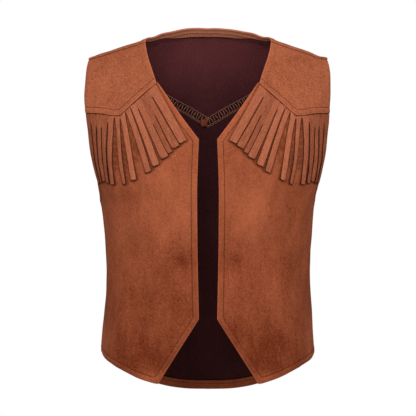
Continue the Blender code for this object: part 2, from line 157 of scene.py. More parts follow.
# Soft troughs: turn (positive to the wearer's left), height, lean from upright in degrees,
# half length, half width, depth
Fold = namedtuple("Fold", "turn z lean length width depth")
FRONT_FOLDS = [
    Fold(15, -233, 14, 15, 8, 1.5),
    Fold(-15, -232, -10, 14, 8, 1.3),
    Fold(47, -205, 14, 55, 15, 2.2),
    Fold(-47, -209, -13, 58, 15, 2.0),
    Fold(67, -262, -10, 42, 13, 1.8),
    Fold(-66, -255, 11, 38, 13, 1.6),
    Fold(37, -312, 24, 30, 14, 1.3),
    Fold(-36, -316, -26, 31, 13, 1.5),
    Fold(30, -146, -32, 26, 6, 0.5),
    Fold(-31, -152, 28, 24, 6, 0.6),
    Fold(74, -190, 38, 17, 5, 0.7),
    Fold(-75, -187, -35, 18, 5, 0.8),
    Fold(58, -306, 8, 26, 7, 0.6),
    Fold(-56, -298, -6, 28, 7, 0.5),
]
BACK_FOLDS = [
    Fold(19, -176, 6, 62, 14, 2.4),
    Fold(-19, -172, -7, 60, 14, 2.2),
    Fold(52, -214, -12, 58, 15, 2.6),
    Fold(-52, -219, 11, 60, 15, 2.4),
    Fold(36, -306, 10, 38, 16, 1.8),
    Fold(-37, -300, -12, 36, 16, 1.9),
    Fold(4, -262, -5, 34, 8, 0.8),
    Fold(66, -156, 30, 20, 6, 0.8),
    Fold(-65, -161, -33, 19, 6, 0.7),
]

# Slow unevenness of the cloth: wavelengths across and down, shift and height
Wave = namedtuple("Wave", "across down shift height")
WAVES = [
    Wave(71, 190, 0.4, 0.42),
    Wave(-53, 133, 2.1, 0.34),
    Wave(38, -88, 4.4, 0.22),
    Wave(29, 61, 1.2, 0.15),
    Wave(-23, 47, 5.3, 0.11),
    Wave(17, -36, 3.0, 0.08),
]

# Soft patches of the fronts painted lighter or darker, the two small dark ones at the waist being painted
# shade
# in the dimples of the folds: x and height of the middle, reach across and down, and how much lighter
TonePatch = namedtuple("TonePatch", "x z across down tone")
TONE_PATCHES = [
    TonePatch(-100, -14, 45, 20, -0.17),
    TonePatch(99, -13, 45, 20, -0.15),
    TonePatch(-38, -168, 34, 42, 0.26),
    TonePatch(40, -172, 32, 40, 0.24),
    TonePatch(-29, -231, 6, 7, -0.34),
    TonePatch(31, -231, 6, 7, -0.34),
    TonePatch(-74, -318, 17, 22, -0.22),
    TonePatch(72, -321, 18, 20, -0.08),
    TonePatch(-52, -338, 12, 13, -0.12),
    TonePatch(54, -335, 13, 14, -0.08),
    TonePatch(-112, -322, 10, 26, 0.30),
    TonePatch(113, -318, 10, 28, 0.28),
    TonePatch(-64, -357, 30, 7, 0.32),
    TonePatch(62, -357, 30, 7, 0.34),
]

# Fringe strands, from the neckline to the armhole: where each root starts along the seam, how far
# along the strand its slit starts, the middle of its cut end, its width there, its bow, its lift
# at the end, its twist and its tone
Strand = namedtuple("Strand", "root_x slit tip_x tip_z width bow lift twist tone")
STRANDS = [
    Strand(55.8, 5.0, 26.6, -104.2, 7.0, 0.0, 0.5, 0.10, 0.62),
    Strand(63.5, 7.0, 33.9, -109.6, 7.6, -0.3, 0.9, -0.25, 0.50),
    Strand(67.9, 24.0, 39.9, -115.3, 5.2, -0.3, 0.5, 0.20, 0.36),
    Strand(72.5, 31.0, 45.6, -120.9, 7.8, -0.2, 1.1, -0.20, 0.58),
    Strand(77.4, 8.0, 55.0, -128.9, 7.2, 0.6, 1.3, 0.30, 0.72),
    Strand(83.4, 0.5, 63.5, -135.9, 6.8, 1.2, 1.0, -0.30, 0.66),
    Strand(88.8, 0.5, 78.9, -144.2, 5.8, 1.2, 1.4, 0.35, 0.72),
    Strand(94.6, 2.2, 89.0, -148.4, 4.8, 0.7, 1.1, -0.30, 0.62),
    Strand(100.4, 2.0, 101.7, -148.6, 6.0, 0.0, 0.8, 0.15, 0.55),
    Strand(107.4, 7.5, 107.4, -147.2, 5.6, 0.0, 0.6, -0.20, 0.38),
    Strand(114.1, 14.0, 111.6, -145.2, 5.0, 0.4, 1.0, 0.30, 0.42),
    Strand(119.7, 14.0, 115.0, -146.4, 4.8, 0.3, 0.7, -0.20, 0.34),
    Strand(125.9, 9.5, 117.6, -147.0, 4.4, 0.0, 0.5, 0.10, 0.30),
]
FRINGE_END_X = 131.6
FRINGE_OUT = 1.4
FRINGE_CLOTH = 0.9
SLIT_WIDTH = 0.9
UNDER_YOKE = 3.5      # how far the root reaches up under the yoke's edge
ROOT_OUT = 1.15
STRAND_STEPS = 16
STRAND_COLUMNS = 5
CUT_SLANT = 0.19      # how far the cut ends lean from square
CAMBER = 0.3          # how far a strand's cut sides lie below its middle
SWAY = 0.35           # how far a strand waves out and in
STRAND_APART = 20.0   # between two strands on the cloth map
ROOT_UNCUT = 6.0      # added to the distance from a cut side above the slits

# How far each row of a strand has grown from its slit to its cut end, after four rows above the slit
GROWTH = np.concatenate([[-1.0] * 4, [0.0, 0.015], np.linspace(0.06, 0.94, STRAND_STEPS), [0.98, 1.0]])
MAP_SCALE = np.array([MM_PER_DEGREE, 1.0])

# Sewing
STITCH_PITCH = 3.3
STITCH_LENGTH = 2.5
STITCH_THICKNESS = 0.6
OVERLOCK_PITCH = 3.2
OVERLOCK_WIDTH = 7.8
OVERLOCK_THREAD = 0.75
OVERLOCK_SLANT = 9.0    # degrees
RUNG_HEIGHT = 1.55      # above the cloth
CHAIN_PITCH = 2.3
CHAIN_LENGTH = 2.7
THREAD_LIFT = 0.12      # the middle of a stitch, above the cloth
THREAD_SUNK = 0.1       # how much lower it lies on the reverse
ROW_NEAREST = 0.96      # share of its own distance that a row keeps from every edge
ROW_BREAK = 6.0         # points of a row that are further apart than this belong to two rows
ROW_STEPS = 500
EDGE_STEPS = 700
ALLOWANCE_WIDTH = 8.6   # the seam allowance inside the back, pressed up
ALLOWANCE_MIDDLE = 2.6  # its middle, above the seam
ALLOWANCE_END_X = 126.0
ALLOWANCE_HEIGHT = 1.0  # of its sides, above the cloth
ALLOWANCE_CROWN = 0.5   # how much higher its middle is
ALLOWANCE_RIPPLE = 0.25
STRIP_CLOTH = 0.8       # the plain strips of allowance behind the other seams
STRIP_ROWS = 60
SIDE_STRIP_TOP = -176.0
SIDE_STRIP_FOOT = -320.0
SIDE_STRIP_IN = 2.35    # how far below the panels' face it lies
SHOULDER_STRIP = 8.0
SHOULDER_STRIP_IN = 1.1

# Chains of thread beside the overlock's rungs: place across the allowance, and height above the cloth
Chain = namedtuple("Chain", "aside height")
CHAINS = [Chain(OVERLOCK_WIDTH / 2, 1.2), Chain(-OVERLOCK_WIDTH / 2, 1.2),
          Chain(-OVERLOCK_WIDTH / 2 - 1.6, 0.2)]

# The lump at the middle of the back seam: its place, how far it stands in, and half its sizes
KNOT_TURN = -1.9        # degrees
KNOT_X = 4.0            # from the centre line
KNOT_Z = -78.0
KNOT_IN = 1.6
KNOT_SIZE = np.array([4.7, 1.5, 4.4])
KNOT_TONE = 0.05

# What each piece is cut to before it is sewn, in metres and square metres
Cut = namedtuple("Cut", "width length area")

# Camera and light, in metres and watts
CAMERA_DISTANCE = 3.0
CAMERA_HEIGHT = -0.17435
FRAME_WIDTH = 0.4576
ROOM_LIGHT = 0.36
LIGHT_FROM_ABOVE = 0.14
LIT_PLACE = (0.0, 0.0, -0.15)
Lamp = namedtuple("Lamp", "name place size power")
LAMPS = [Lamp("key", (-0.5, -1.9, 1.1), 1.6, 22.0), Lamp("fill", (0.9, -1.7, 0.5), 1.4, 9.0)]

# A place, as turn and reach, that is far from every piece
FAR_AWAY = np.array([[0.0, 9000.0]])

# Grid lines at a hemmed edge, a sewn edge and a plain join, and the step between the rest
HEM_LINES = [0.0, 0.2, 0.5, 0.9, 1.4, 2.2, 3.4, 4.8, 5.7, 6.3, 6.9, 7.8, 8.6, 9.2, 10.0]
SEAM_LINES = [0.0, 0.5, 1.1, 1.8, 2.8, 4.2]
JOIN_LINES = [0.0]
CLOTH_STEP = 2.8

SUEDE_SHEEN = 0.025

# The unevenness of suede, strands, knit and thread, in waves a metre
CLOUD_SCALE = 17.0
BRUSH_SCALE = 90.0
PILE_SCALE = 330.0
GRAIN_SCALE = 800.0
STREAK_SCALE = 620.0
STRAND_GRAIN_SCALE = 900.0
KNIT_CLOUD_SCALE = 30.0
KNIT_GRAIN_SCALE = 700.0
TWIST_SCALE = 1400.0

# The ribs and loops of the knit, in metres
WALE_WIDTH = 0.0016
LOOP_HEIGHT = 0.0013

# Colours as linear RGB
YOKE_LIGHT = (0.530, 0.152, 0.070)
YOKE_DEEP = (0.240, 0.052, 0.018)
PANEL_LIGHT = (0.562, 0.150, 0.064)
PANEL_DEEP = (0.178, 0.0300, 0.0090)
FRINGE_LIGHT = (0.640, 0.196, 0.098)
FRINGE_DEEP = (0.215, 0.046, 0.018)
# The knit's two ends; its painted light runs from the deep one to the light one
KNIT_LIGHT = (0.205, 0.0510, 0.0560)
KNIT_DEEP = (0.057, 0.0155, 0.0172)
# Lighter copies of the yoke's and the panel's suede for the turned hems inside: painted light on the neck
# band and on the back hem band
NECK_BAND_LIGHT = (0.620, 0.225, 0.130)
NECK_BAND_DEEP = (0.410, 0.122, 0.062)
HEM_BAND_LIGHT = (0.570, 0.163, 0.072)
HEM_BAND_DEEP = (0.335, 0.068, 0.025)
BROWN_THREAD = (0.100, 0.026, 0.012)
TAN_THREAD = (0.520, 0.225, 0.140)


def curve_through(keys, values, level_start=False):
    """A smooth function through known values. The keys rise."""
    keys = np.array(keys, float)
    values = np.array(values, float)
    steps = np.diff(keys)
    rises = np.diff(values) / steps
    slopes = np.empty_like(keys)
    slopes[0] = 0.0 if level_start else rises[0]
    slopes[-1] = rises[-1]
    slopes[1:-1] = (rises[:-1] * steps[1:] + rises[1:] * steps[:-1]) / (steps[:-1] + steps[1:])

    def value(at):
        at = np.clip(at, keys[0], keys[-1])
        i = np.clip(np.searchsorted(keys, at, side="right") - 1, 0, len(steps) - 1)
        t = (at - keys[i]) / steps[i]
        near = values[i] * (1 + 2 * t) + slopes[i] * steps[i] * t
        far = values[i + 1] * (3 - 2 * t) + slopes[i + 1] * steps[i] * (t - 1)
        return near * (1 - t) ** 2 + far * t ** 2

    return value


def table_curve(table, key, value, level_start=False):
    """A smooth function through two columns of a table."""
    keys, values = ([getattr(row, name) for row in table] for name in (key, value))
    return curve_through(keys, values, level_start)


half_width = table_curve(SECTIONS, "z", "half_width")
front_depth = table_curve(SECTIONS, "z", "front")
back_depth = table_curve(SECTIONS, "z", "back")
ridge_height = table_curve(RIDGE, "x", "z", level_start=True)


def smooth(value, low, high):
    """Rises from 0 at low to 1 at high."""
    t = np.clip((value - low) / (high - low), 0.0, 1.0)
    return t * t * (3 - 2 * t)


def unit(vectors):
    return vectors / np.linalg.norm(vectors, axis=-1, keepdims=True)


def dot(first, second):
    return (first * second).sum(axis=1)


def length_along(points):
    """How far along a path each of its points lies."""
    return np.concatenate([[0.0], np.cumsum(np.linalg.norm(np.diff(points, axis=0), axis=1))])


def drop_of(reach):
    """How far below the ridge a place lies that is this far from it along the cloth."""
    return np.hypot(reach, RIDGE_SPREAD) - RIDGE_SPREAD


def reach_of(drop, side):
    return side * np.sqrt(np.maximum(0.0, (drop + RIDGE_SPREAD) ** 2 - RIDGE_SPREAD ** 2))


def on_body(turn, reach):
    """Points on the filled-out body, by their turn from the centre line and reach from the ridge."""
    share = np.sin(np.radians(turn))
    drop = drop_of(reach)
    z = -drop
    for _ in range(8):
        x = half_width(z) * share
        z = ridge_height(np.abs(x)) - drop
    depth = np.where(reach < 0, front_depth(z), back_depth(z))
    shoulder = np.sqrt(1 - np.maximum(0.0, 1 - drop / SHOULDER_DEPTH) ** SHOULDER_POWER)
    plan = np.maximum(0.0, 1 - np.abs(share) ** PLAN_POWER) ** (1 / PLAN_POWER)
    half_gap = SEAM_GAP / 2 * np.clip(reach / RIDGE_SPREAD, -1.0, 1.0)
    y = half_gap + np.copysign(depth * shoulder * plan, reach)
    return np.stack([x, y, z], axis=-1)


def face_normal(turn, reach):
    """The outward direction of the body."""
    step = 0.5
    down = on_body(turn, reach + step) - on_body(turn, reach - step)
    across = on_body(turn + step, reach) - on_body(turn - step, reach)
    sideways = np.zeros_like(across)
    sideways[..., 1] = np.copysign(1.0, -reach * turn)
    across = np.where((np.abs(turn) > 89.0)[..., None], sideways, across)
    return unit(np.cross(across, down))


def trough(turn, z, folds):
    """How far a table of folds draws the cloth in."""
    depth = np.zeros_like(turn)
    for fold in folds:
        lean = math.radians(fold.lean)
        away = (turn - fold.turn) * MM_PER_DEGREE
        along = (z - fold.z) * math.cos(lean) + away * math.sin(lean)
        aside = away * math.cos(lean) - (z - fold.z) * math.sin(lean)
        depth += fold.depth * np.exp(-(along / fold.length) ** 2 - (aside / fold.width) ** 2)
    return depth


def unevenness(turn, z):
    height = np.zeros_like(turn)
    for wave in WAVES:
        phase = turn * MM_PER_DEGREE / wave.across + z / wave.down
        height += wave.height * np.cos(2 * math.pi * phase + wave.shift)
    return height


def patch_tone_and_dimple_shade(body, reach):
    """How much lighter the fronts are painted at points by the tone patches, with painted shade in the
    dimples.
    """
    tone = np.zeros_like(reach)
    for tone_patch in TONE_PATCHES:
        across = (body[..., 0] - tone_patch.x) / tone_patch.across
        down = (body[..., 2] - tone_patch.z) / tone_patch.down
        tone += tone_patch.tone * np.exp(-across ** 2 - down ** 2)
    return np.where(reach < 0, tone, 0.0)


def on_cloth(places, out):
    """Points on the creased cloth and their outward directions, moved out from the body."""
    turn, reach = places[..., 0], places[..., 1]
    points = on_body(turn, reach)
    normals = face_normal(turn, reach)
    depth = np.where(reach < 0, trough(turn, points[..., 2], FRONT_FOLDS),
                     trough(turn, points[..., 2], BACK_FOLDS))
    height = out - depth + unevenness(turn, points[..., 2])
    return points + normals * height[..., None], normals


def from_place(x, z, side):
    turn = np.degrees(np.arcsin(np.clip(x / half_width(z), -1.0, 1.0)))
    return np.stack([turn, reach_of(ridge_height(x) - z, side)], axis=-1)


def from_turned(turn, z, side):
    x = half_width(z) * np.sin(np.radians(turn))
    return np.stack([turn, reach_of(ridge_height(x) - z, side)], axis=-1)


def from_reached(x, reach, side):
    z = ridge_height(x) - drop_of(reach)
    return np.stack([np.degrees(np.arcsin(x / half_width(z))), reach], axis=-1)


READERS = {Place: from_place, Turned: from_turned, Reached: from_reached}


def trace(rows, side, lower=0.0):
    """An outline as a function of the share of its length. lower moves it down."""
    lengths = length_along(np.array(rows))
    first = curve_through(lengths, [row[0] for row in rows])
    second = curve_through(lengths, [row[1] for row in rows])
    reader = READERS[type(rows[0])]
    return lambda share: reader(first(share * lengths[-1]), second(share * lengths[-1]) - lower, side)


def joined(first, second, at):
    """Two outlines end to end, which meet at a corner at this share."""
    def place(share):
        share = np.asarray(share, float)
        before = first(np.clip(share / at, 0.0, 1.0))
        after = second(np.clip((share - at) / (1 - at), 0.0, 1.0))
        return np.where((share <= at)[..., None], before, after)

    return place


def straight(start, end):
    return lambda share: start + (end - start) * np.asarray(share, float)[..., None]


def stretch(outline, start, end):
    """The part of an outline between two shares of its length."""
    return lambda share: outline(start + (end - start) * np.asarray(share, float))


def backwards(outline):
    return stretch(outline, 1.0, 0.0)


def fit_ends(outline, start, end):
    """The outline, moved so that it starts and ends exactly at two places."""
    first = start - outline(0.0)
    last = end - outline(1.0)

    def place(share):
        along = np.asarray(share, float)[..., None]
        return outline(share) + first * (1 - along) + last * along

    return place


def mirrored(outline):
    return lambda share: outline(share) * np.array([-1.0, 1.0])


def patch(upper, lower, inner, outer, across, down):
    """Rows of places between four outlines."""
    u = across[None, :, None]
    v = down[:, None, None]
    sides = inner(down)[:, None] * (1 - u) + outer(down)[:, None] * u
    sides = sides + upper(across)[None] * (1 - v) + lower(across)[None] * v
    twice = (upper(0.0) * (1 - u) + upper(1.0) * u) * (1 - v)
    twice = twice + (lower(0.0) * (1 - u) + lower(1.0) * u) * v
    return sides - twice


def grid_lines(length, first, last):
    """Shares of a length for a panel's grid, closer together near its two edges."""
    start = np.array(first)
    end = length - np.array(last[::-1])
    count = max(2, round((end[0] - start[-1]) / CLOTH_STEP))
    between = np.linspace(start[-1], end[0], count + 1)[1:-1]
    return np.concatenate([start, between, end]) / length


def whole_back(half):
    """A back piece's places on both sides of the centre line."""
    other = half[:, :0:-1] * np.array([-1.0, 1.0])
    return np.concatenate([other, half], axis=1)


class Marks:
    """Points on the body, and how far any other point is from them."""

    def __init__(self, places):
        points = on_body(places[:, 0], places[:, 1])
        self.tree = KDTree(len(points))
        for i, point in enumerate(points):
            self.tree.insert(point, i)
        self.tree.balance()

    def distance(self, points):
        flat = points.reshape(-1, 3)
        return np.array([self.tree.find(point)[2] for point in flat]).reshape(points.shape[:-1])


def along_edges(outlines):
    """Marks along a piece's outlines. Without any, one mark lies far away from every piece."""
    shares = np.linspace(0.0, 1.0, EDGE_STEPS)
    return Marks(np.concatenate([outline(shares) for outline in outlines] or [FAR_AWAY]))


class CutPiece:
    """One cut piece of cloth: its hems, lapped edge and seams, the fringe over it, and how its face lies."""

    def __init__(self, out, hems=(), laps=(), seams=(), hanging=FAR_AWAY, hem_width=HEM_WIDTH,
                 plain_hems=False):
        self.out = out
        self.hem_width = hem_width
        self.plain_hems = plain_hems
        self.hanging = Marks(hanging)
        self.hems = along_edges(hems)
        self.laps = along_edges(laps)
        self.seams = along_edges(seams)

    def face(self, places):
        """The outer face, its outward directions, the wall, and the distances from hems and seams."""
        body = on_body(places[..., 0], places[..., 1])
        from_hem = self.hems.distance(body)
        from_lap = self.laps.distance(body)
        from_seam = self.seams.distance(body)
        from_edge = np.minimum(from_hem, from_lap)
        from_row = from_lap if self.plain_hems else from_edge
        free = smooth(from_seam, 1.0, 12.0)
        puff = HEM_PUFF * free * smooth(from_edge, 0.8, 3.0) * (1 - smooth(from_edge, 5.2, 7.6))
        groove = STITCH_DIP * free * np.exp(-((from_row - STITCH_IN) / 0.8) ** 2)
        dip = SEAM_DIP * np.exp(-(from_seam / 1.5) ** 2)
        lift = LAP_LIFT * np.exp(-(from_lap / LAP_REACH) ** 2)
        points, normals = on_cloth(places, self.out + puff - groove - dip + lift)
        wall = CLOTH + HEM_FOLD * (1 - smooth(from_hem, self.hem_width - 0.5, self.hem_width + 0.5))
        # the distance from the fringe places a painted shadow under it
        marks = {"from_edge": from_edge, "from_seam": from_seam, "from_fringe": self.hanging.distance(body),
                 # the patch tones of the fronts, with painted shade in the dimples of the folds
                 "from_row": from_row, "patchy_tone": patch_tone_and_dimple_shade(body, places[..., 1])}
        return points, normals, wall, marks

    def shell(self, name, places, finishes):
        """A closed wall of cloth with rounded edges."""
        self.cloth = Marks(places[np.isfinite(places[..., 0])])
        outer, normals, wall, marks = self.face(places)
        inner = outer - normals * wall[..., None]
        short = np.clip(1 - marks["from_edge"] / EDGE_ROUND, 0.0, 1.0)
        roll = (1 - np.sqrt(1 - short ** 2)) * EDGE_ROLL * wall
        outer = outer - normals * roll[..., None]
        inner = inner + normals * roll[..., None]
        return cloth_mesh(name, outer, inner, places, marks, finishes)


def shell_faces(used, outer, inner):
    """Faces of a grid of numbered points, of the grid behind it, and of the rim between them.

    In used, -1 marks a place that is left out.
    """
    corners = [used[:-1, :-1], used[1:, :-1], used[1:, 1:], used[:-1, 1:]]
    faces = np.stack(corners, axis=-1).reshape(-1, 4)
    faces = faces[(faces >= 0).all(axis=1)]
    a, b, c, d = (outer[faces[:, k]] for k in range(4))
    if (np.cross(c - a, d - b) * (outer - inner)[faces[:, 0]]).sum() < 0:
        faces = faces[:, ::-1]
    walked = {(face[k], face[(k + 1) % 4]) for face in faces.tolist() for k in range(4)}
    count = len(outer)
    rim = [(b, a, a + count, b + count) for a, b in walked if (b, a) not in walked]
    return faces.tolist(), (faces[:, ::-1] + count).tolist(), sorted(rim)


def cloth_object(name, points, faces, finishes, marks, cloth_map):
    """An object from points in millimetres, with marks and a place on the cloth for each point."""
    mesh = bpy.data.meshes.new(name)
    mesh.from_pydata((points * MM).tolist(), [], faces)
    mesh.shade_smooth()
    for finish in finishes:
        mesh.materials.append(finish)
    for label, values in marks.items():
        layer = mesh.attributes.new(label, "FLOAT", "POINT")
        layer.data.foreach_set("value", values.astype(np.float32))
    corners = np.zeros(len(mesh.loops), np.int32)
    mesh.loops.foreach_get("vertex_index", corners)
    layer = mesh.uv_layers.new(name="cloth")
    layer.data.foreach_set("uv", (cloth_map * MM)[corners].astype(np.float32).ravel())
    return linked(name, mesh)


def linked(name, data):
    """An object in the scene for a mesh, a lamp or a camera."""
    made = bpy.data.objects.new(name, data)
    bpy.context.scene.collection.objects.link(made)
    return made


def cloth_mesh(name, outer, inner, places, marks, finishes):
    """A closed shell between two grids of points. The last finish is on its reverse."""
    kept = np.isfinite(places[..., 0])
    used = np.where(kept, np.cumsum(kept.ravel()).reshape(kept.shape) - 1, -1)
    outer, inner = outer[kept], inner[kept]
    front, back, rim = shell_faces(used, outer, inner)
    marks = {label: np.tile(values[kept], 2) for label, values in marks.items()}
    cloth_map = np.tile(places[kept] * MAP_SCALE, (2, 1))
    piece = cloth_object(name, np.concatenate([outer, inner]), front + back + rim, finishes, marks,
                         cloth_map)
    numbers = np.zeros(len(piece.data.polygons), np.int32)
    numbers[len(front):len(front) + len(back)] = len(finishes) - 1
    piece.data.polygons.foreach_set("material_index", numbers)
    return piece


def armhole_and_side(armhole, side, at, start, end):
    """The edge from the yoke round the armhole and down the side seam, which stays at the side."""
    side_seam = trace(SIDE_SEAM, side)
    corner = side_seam(0.0)
    return joined(fit_ends(trace(armhole, side), start, corner), fit_ends(side_seam, corner, end), at)


def outlines_of(hand):
    """The edges of the front pieces on one side."""
    turn = (lambda outline: outline) if hand > 0 else mirrored
    yoke_seam = joined(trace(YOKE_SEAM_SLOPE, FRONT, 0.2), trace(YOKE_SEAM_LEVEL, FRONT, 0.2), CORNER)
    top = joined(trace(YOKE_SEAM_SLOPE, FRONT, -1.8), trace(YOKE_SEAM_LEVEL, FRONT, -1.8), CORNER)
    shoulder = trace([row._replace(reach=row.reach - SHOULDER_GAP) for row in SHOULDER_SEAM], FRONT)
    yoke_neck = fit_ends(trace(NECKLINE_YOKE, FRONT), shoulder(0.0), yoke_seam(0.0))
    yoke_arm = fit_ends(trace(ARMHOLE_YOKE, FRONT), shoulder(1.0), yoke_seam(1.0))
    hem = joined(trace(CUTAWAY, FRONT), trace(FRONT_HEM, FRONT), CORNER)
    neck = joined(trace(NECKLINE_FRONT, FRONT), trace(FRONT_EDGE, FRONT), FRONT_ARM)
    neck = fit_ends(neck, top(0.0), hem(0.0))
    arm = armhole_and_side(ARMHOLE_FRONT, FRONT, FRONT_ARM, top(1.0), hem(1.0))
    made = {"yoke_seam": yoke_seam, "top": top, "shoulder": shoulder, "yoke_neck": yoke_neck,
            "yoke_arm": yoke_arm, "hem": hem, "neck": neck, "arm": arm}
    return {name: turn(outline) for name, outline in made.items()}


def front_yoke(name, hand, finishes):
    edges = outlines_of(hand)
    places = patch(edges["shoulder"], edges["yoke_seam"], edges["yoke_neck"], edges["yoke_arm"],
                   grid_lines(92.0, HEM_LINES, HEM_LINES), grid_lines(76.0, SEAM_LINES, HEM_LINES))
    cut = CutPiece(YOKE_OUT, [edges["yoke_neck"], edges["yoke_arm"]], [edges["yoke_seam"]],
                   [edges["shoulder"]], plain_hems=True)
    rows = [edges["yoke_seam"]]
    return cut.shell(name, places, finishes), cut, rows


def front_panel(name, hand, finishes):
    edges = outlines_of(hand)
    places = patch(edges["top"], edges["hem"], edges["neck"], edges["arm"],
                   grid_lines(118.0, HEM_LINES, HEM_LINES), grid_lines(315.0, JOIN_LINES, HEM_LINES))
    armhole = stretch(edges["arm"], 0.0, FRONT_ARM)
    side = stretch(edges["arm"], FRONT_ARM, 1.0)
    strips = [strand_places(number, hand) for number in range(len(STRANDS))]
    # midlines between the strands, so that the painted shadow under the fringe fills the gaps too
    gaps = [(near[:-5, -1] + far[:-5, 0]) / 2 for near, far in zip(strips, strips[1:])]
    over = np.concatenate([strip.reshape(-1, 2) for strip in strips] + gaps)
    cut = CutPiece(0.0, [edges["neck"], edges["hem"], armhole], seams=[side], hanging=over)
    border = joined(edges["neck"], edges["hem"], 0.6)
    return cut.shell(name, places, finishes), cut, [border, armhole]


def back_yoke(name, finishes):
    """The middle hangs from the back neck, and each side rolls over the ridge from the shoulder seam."""
    seam = trace(BACK_SEAM, BACK, -SEAM_GAP / 2)
    shoulder = trace(SHOULDER_SEAM, FRONT)
    neck = trace(BACK_NECK, BACK)
    side_neck = trace(SIDE_NECK, BACK)
    split = straight(neck(1.0), seam(MIDDLE))
    inner = joined(side_neck, split, SIDE_NECK_END)
    arm = fit_ends(trace(ARMHOLE_TOP, BACK), shoulder(1.0), seam(1.0))
    middle_across = grid_lines(64.0, JOIN_LINES, JOIN_LINES)
    side_across = grid_lines(72.0, HEM_LINES, HEM_LINES)
    middle_down = grid_lines(92.0, HEM_LINES, SEAM_LINES)
    side_top = SIDE_NECK_END * grid_lines(24.0, SEAM_LINES, JOIN_LINES)[:-1]
    side_down = np.concatenate([side_top, SIDE_NECK_END + (1 - SIDE_NECK_END) * middle_down])
    middle = patch(neck, stretch(seam, 0.0, MIDDLE), straight(neck(0.0), seam(0.0)), split,
                   middle_across, middle_down)
    sides = patch(shoulder, stretch(seam, MIDDLE, 1.0), inner, arm, side_across, side_down)
    above = len(side_top)
    half = np.full((len(side_down), len(middle_across) - 1 + len(side_across), 2), np.nan)
    half[above:, :len(middle_across)] = middle
    half[:, len(middle_across) - 1:] = sides
    hems = [neck, side_neck, arm]
    cut = CutPiece(YOKE_OUT, hems + [mirrored(edge) for edge in hems],
                   seams=[seam, mirrored(seam), shoulder, mirrored(shoulder)],
                   hem_width=BACK_NECK_WIDTH)
    this_side = joined(neck, backwards(side_neck), 0.75)
    neckline = joined(mirrored(side_neck), joined(backwards(mirrored(neck)), this_side, 0.5), 0.12)
    return cut.shell(name, whole_back(half), finishes), cut, [neckline, arm, mirrored(arm)]


def back_panel(name, finishes):
    seam = trace(BACK_SEAM, BACK, SEAM_GAP / 2)
    hem = trace(BACK_HEM, BACK)
    outer = armhole_and_side(ARMHOLE_BACK, BACK, BACK_ARM, seam(1.0), hem(1.0))
    half = patch(seam, hem, straight(seam(0.0), hem(0.0)), outer,
                 grid_lines(165.0, JOIN_LINES, HEM_LINES), grid_lines(325.0, SEAM_LINES, HEM_LINES))
    armhole = stretch(outer, 0.0, BACK_ARM)
    side = stretch(outer, BACK_ARM, 1.0)
    cut = CutPiece(0.0, [hem, mirrored(hem), armhole, mirrored(armhole)],
                   seams=[seam, mirrored(seam), side, mirrored(side)], hem_width=BACK_HEM_WIDTH)
    whole_hem = joined(backwards(mirrored(hem)), hem, 0.5)
    return cut.shell(name, whole_back(half), finishes), cut, [whole_hem, armhole, mirrored(armhole)]


def seam_height(x):
    """Height of the front yoke's seam at x."""
    rows = YOKE_SEAM_SLOPE if x <= YOKE_SEAM_LEVEL[0].x else YOKE_SEAM_LEVEL
    return table_curve(rows, "x", "z")(x)


def turned(x, z):
    return np.array([math.degrees(math.asin(x / float(half_width(z)))), float(z)])


def strand_rows(number):
    """The two sides of a strand, row by row from under the yoke to its cut end."""
    strand = STRANDS[number]
    first = number == 0
    last = number == len(STRANDS) - 1
    far_x = FRINGE_END_X if last else STRANDS[number + 1].root_x
    far_slit = strand.slit if last else STRANDS[number + 1].slit
    roots = [turned(x, seam_height(x)) for x in (strand.root_x, far_x)]
    tip = turned(strand.tip_x, strand.tip_z)
    heading = unit((tip - (roots[0] + roots[1]) / 2) * MAP_SCALE)
    sideways = np.array([heading[1], -heading[0]]) / MAP_SCALE * strand.width / 2
    leaning = heading / MAP_SCALE * strand.width / 2 * CUT_SLANT
    ends = [tip + sideways - leaning, tip - sideways + leaning]
    trims = [0 if first else SLIT_WIDTH / 2, 0 if last else -SLIT_WIDTH / 2]
    grown = GROWTH[GROWTH >= 0][:, None]
    bow = np.array([-strand.bow / MM_PER_DEGREE, 0.0]) * 4 * grown * (1 - grown)
    sides = []
    for root, end, slit, trim in zip(roots, ends, (strand.slit, far_slit), trims):
        start = root + (end - root) * slit / np.linalg.norm((end - root) * MAP_SCALE)
        opened = np.array([trim / MM_PER_DEGREE, 0.0]) * np.minimum(1, grown * 12) * (1 - grown)
        free = start * (1 - grown) + end * grown + bow + opened
        rooted = [root + [0.0, UNDER_YOKE], root, root * 2 / 3 + start / 3, root / 3 + start * 2 / 3]
        sides.append(np.concatenate([rooted, free]))
    return sides


def strand_places(number, hand):
    near, far = strand_rows(number)
    across = np.linspace(0.0, 1.0, STRAND_COLUMNS)
    grid = near[:, None] * (1 - across[None, :, None]) + far[:, None] * across[None, :, None]
    return from_turned(grid[..., 0], grid[..., 1], FRONT) * [hand, 1]


